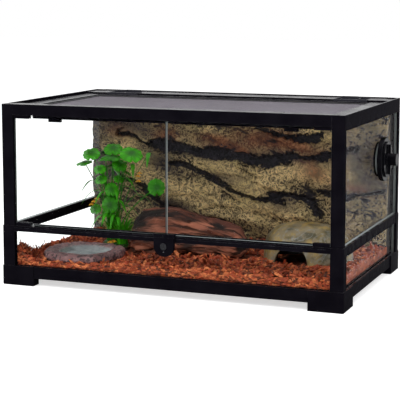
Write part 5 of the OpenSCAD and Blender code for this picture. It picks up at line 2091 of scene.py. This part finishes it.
@dataclass
class GrassTuft:
    """Plastic grass: long blades that rise from one foot and arch over."""

    shop: Workshop
    ground: Ground
    blades: int = 58
    between: float = 137.5

    def build(self) -> None:
        """One piece."""
        self.shop.piece("grass_blades", self.tuft(), LEAF, replaced="grassy_plant", crease=70)

    def tuft(self) -> Surface:
        """Blades at even turns round the foot: outwards with the square of the height's share.

        Returns:
            The foot and the blades as one surface.
        """
        chance = np.random.default_rng(8)
        cx, cy, _, _, z0 = self.ground.grass
        parts = [rooted(self.ground.grass, 5.0, (12.5, 12, 10), 20)]
        t = np.linspace(0, 1, 10)
        for k in range(self.blades):
            turn = math.radians(self.between * k)
            reach, rise = chance.uniform(8, 34), chance.uniform(34, 60)
            out = 2 + 5 * math.sqrt(k / self.blades) + reach * t**2
            level = z0 + 3 + rise * (t - 0.25 * t**2)
            path = xyz(cx + out * math.cos(turn), cy + out * math.sin(turn), level)
            blade = tube(path, chance.uniform(1.3, 2.4) * (1 - t**2.2) + 0.12, 6, 0.2)
            tone, rim = chance.uniform(0.55, 1.0), chance.uniform(0.5, 1)
            parts.append(blade.with_values(tone=tone, rim=rim, vein=0.1))
        return joined(parts)


# -------------------------------------------------------------------- the studio


@dataclass
class Studio:
    """White sweep, soft lamps and the camera at the photograph's angle; all places in metres."""

    lens: float = 120.8
    sensor: float = 36.0
    shift_y: float = -0.1
    place: tuple[float, float, float] = (0.7027, -1.84595, 0.4253)
    pitch: float = 82.81
    yaw: float = 21.33
    world_light: float = 0.62
    floor_half: float = 9.0
    floor_points: int = 25
    aim: tuple[float, float, float] = (0.0, 0.0, 0.12)

    def build(self) -> None:
        """Sets the stage; a colour renders as it is written."""
        bpy.context.scene.view_settings.view_transform = "Standard"
        self.world()
        self.floor()
        self.camera()
        self.lamp("key_softbox", (-0.9, -1.7, 1.9), 1.6, 27.0)
        self.lamp("fill_softbox", (1.9, -1.0, 1.2), 1.4, 12.0)
        self.lamp("top_softbox", (0.1, 0.3, 2.1), 1.8, 14.0)

    def world(self) -> None:
        """White all round for the eye, mirrors and glass, and softer for the light it gives."""
        world = bpy.data.worlds.new("studio")
        bpy.context.scene.world = world
        world.use_nodes = True
        sketch = Sketch(world.node_tree)
        inputs = {"Value": sketch.seen(), "To Min": self.world_light, "To Max": 1.0}
        strength = sketch.add("MapRange", inputs).outputs[0]
        sketch.feed(world.node_tree.nodes["Background"], Color=(1.0, 1.0, 1.0), Strength=strength)

    def floor(self) -> None:
        """A wide floor under the feet, as a grid of squares."""
        span = np.linspace(-self.floor_half, self.floor_half, self.floor_points)
        points = xyz(*grid(span, span), 0.0).reshape(-1, 3)
        faces = grid_faces(self.floor_points, self.floor_points, cols_meet=False)[:, [0, 3, 2, 1]]
        mesh = bpy.data.meshes.new("studio_floor")
        mesh.from_pydata(points.tolist(), [], faces.tolist())
        mesh.materials.append(StudioFloor("studio_floor").material())
        made = bpy.data.objects.new("studio_floor", mesh)
        bpy.context.scene.collection.objects.link(made)

    def camera(self) -> None:
        """The photograph's viewpoint, fitted from the tank's corners."""
        data = bpy.data.cameras.new("photo_camera")
        data.lens = self.lens
        data.sensor_width = self.sensor
        data.shift_y = self.shift_y
        data.clip_end = 60.0
        made = bpy.data.objects.new("photo_camera", data)
        made.location = self.place
        made.rotation_euler = (math.radians(self.pitch), 0.0, math.radians(self.yaw))
        bpy.context.scene.collection.objects.link(made)
        bpy.context.scene.camera = made

    def lamp(self, name: str, place: tuple[float, float, float], size: float, power: float) -> None:
        """A square softbox that looks at the tank's middle.

        Args:
            name: The lamp's name.
            place: Where it stands, in metres.
            size: Its side in metres.
            power: Its power in watts.
        """
        data = bpy.data.lights.new(name, "AREA")
        data.shape = "SQUARE"
        data.size = size
        data.energy = power
        made = bpy.data.objects.new(name, data)
        made.location = place
        x, y, z = np.array(self.aim) - np.array(place)
        made.rotation_euler = (math.atan2(math.hypot(x, y), -z), 0.0, math.atan2(y, x) - math.pi / 2)
        bpy.context.scene.collection.objects.link(made)


def corners(box: Iterable[Iterable[float]]) -> list[list[float]]:
    """A box's two corners as plain lists of numbers."""
    return [[float(value) for value in corner] for corner in box]


def main() -> None:
    """Loads the frame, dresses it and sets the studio."""
    logging.basicConfig(level=logging.INFO, format="%(name)s: %(message)s")
    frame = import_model()
    shop = Workshop(frame)
    ground = Ground()
    noise = Noise(11)
    for part in (
        TankFrame(shop), Panes(shop), Doors(shop), Lock(shop), ScreenCover(shop), Fittings(shop),
        RockWall(shop, noise), BarkBed(shop, ground, noise), WaterDish(shop, ground, noise),
        Log(shop, ground, noise), Hide(shop, ground, noise), LeafyPlant(shop, ground),
        GrassTuft(shop, ground), Studio(),
    ):
        LOG.info("building %s", type(part).__name__)
        part.build()


if __name__ == "__main__":
    main()
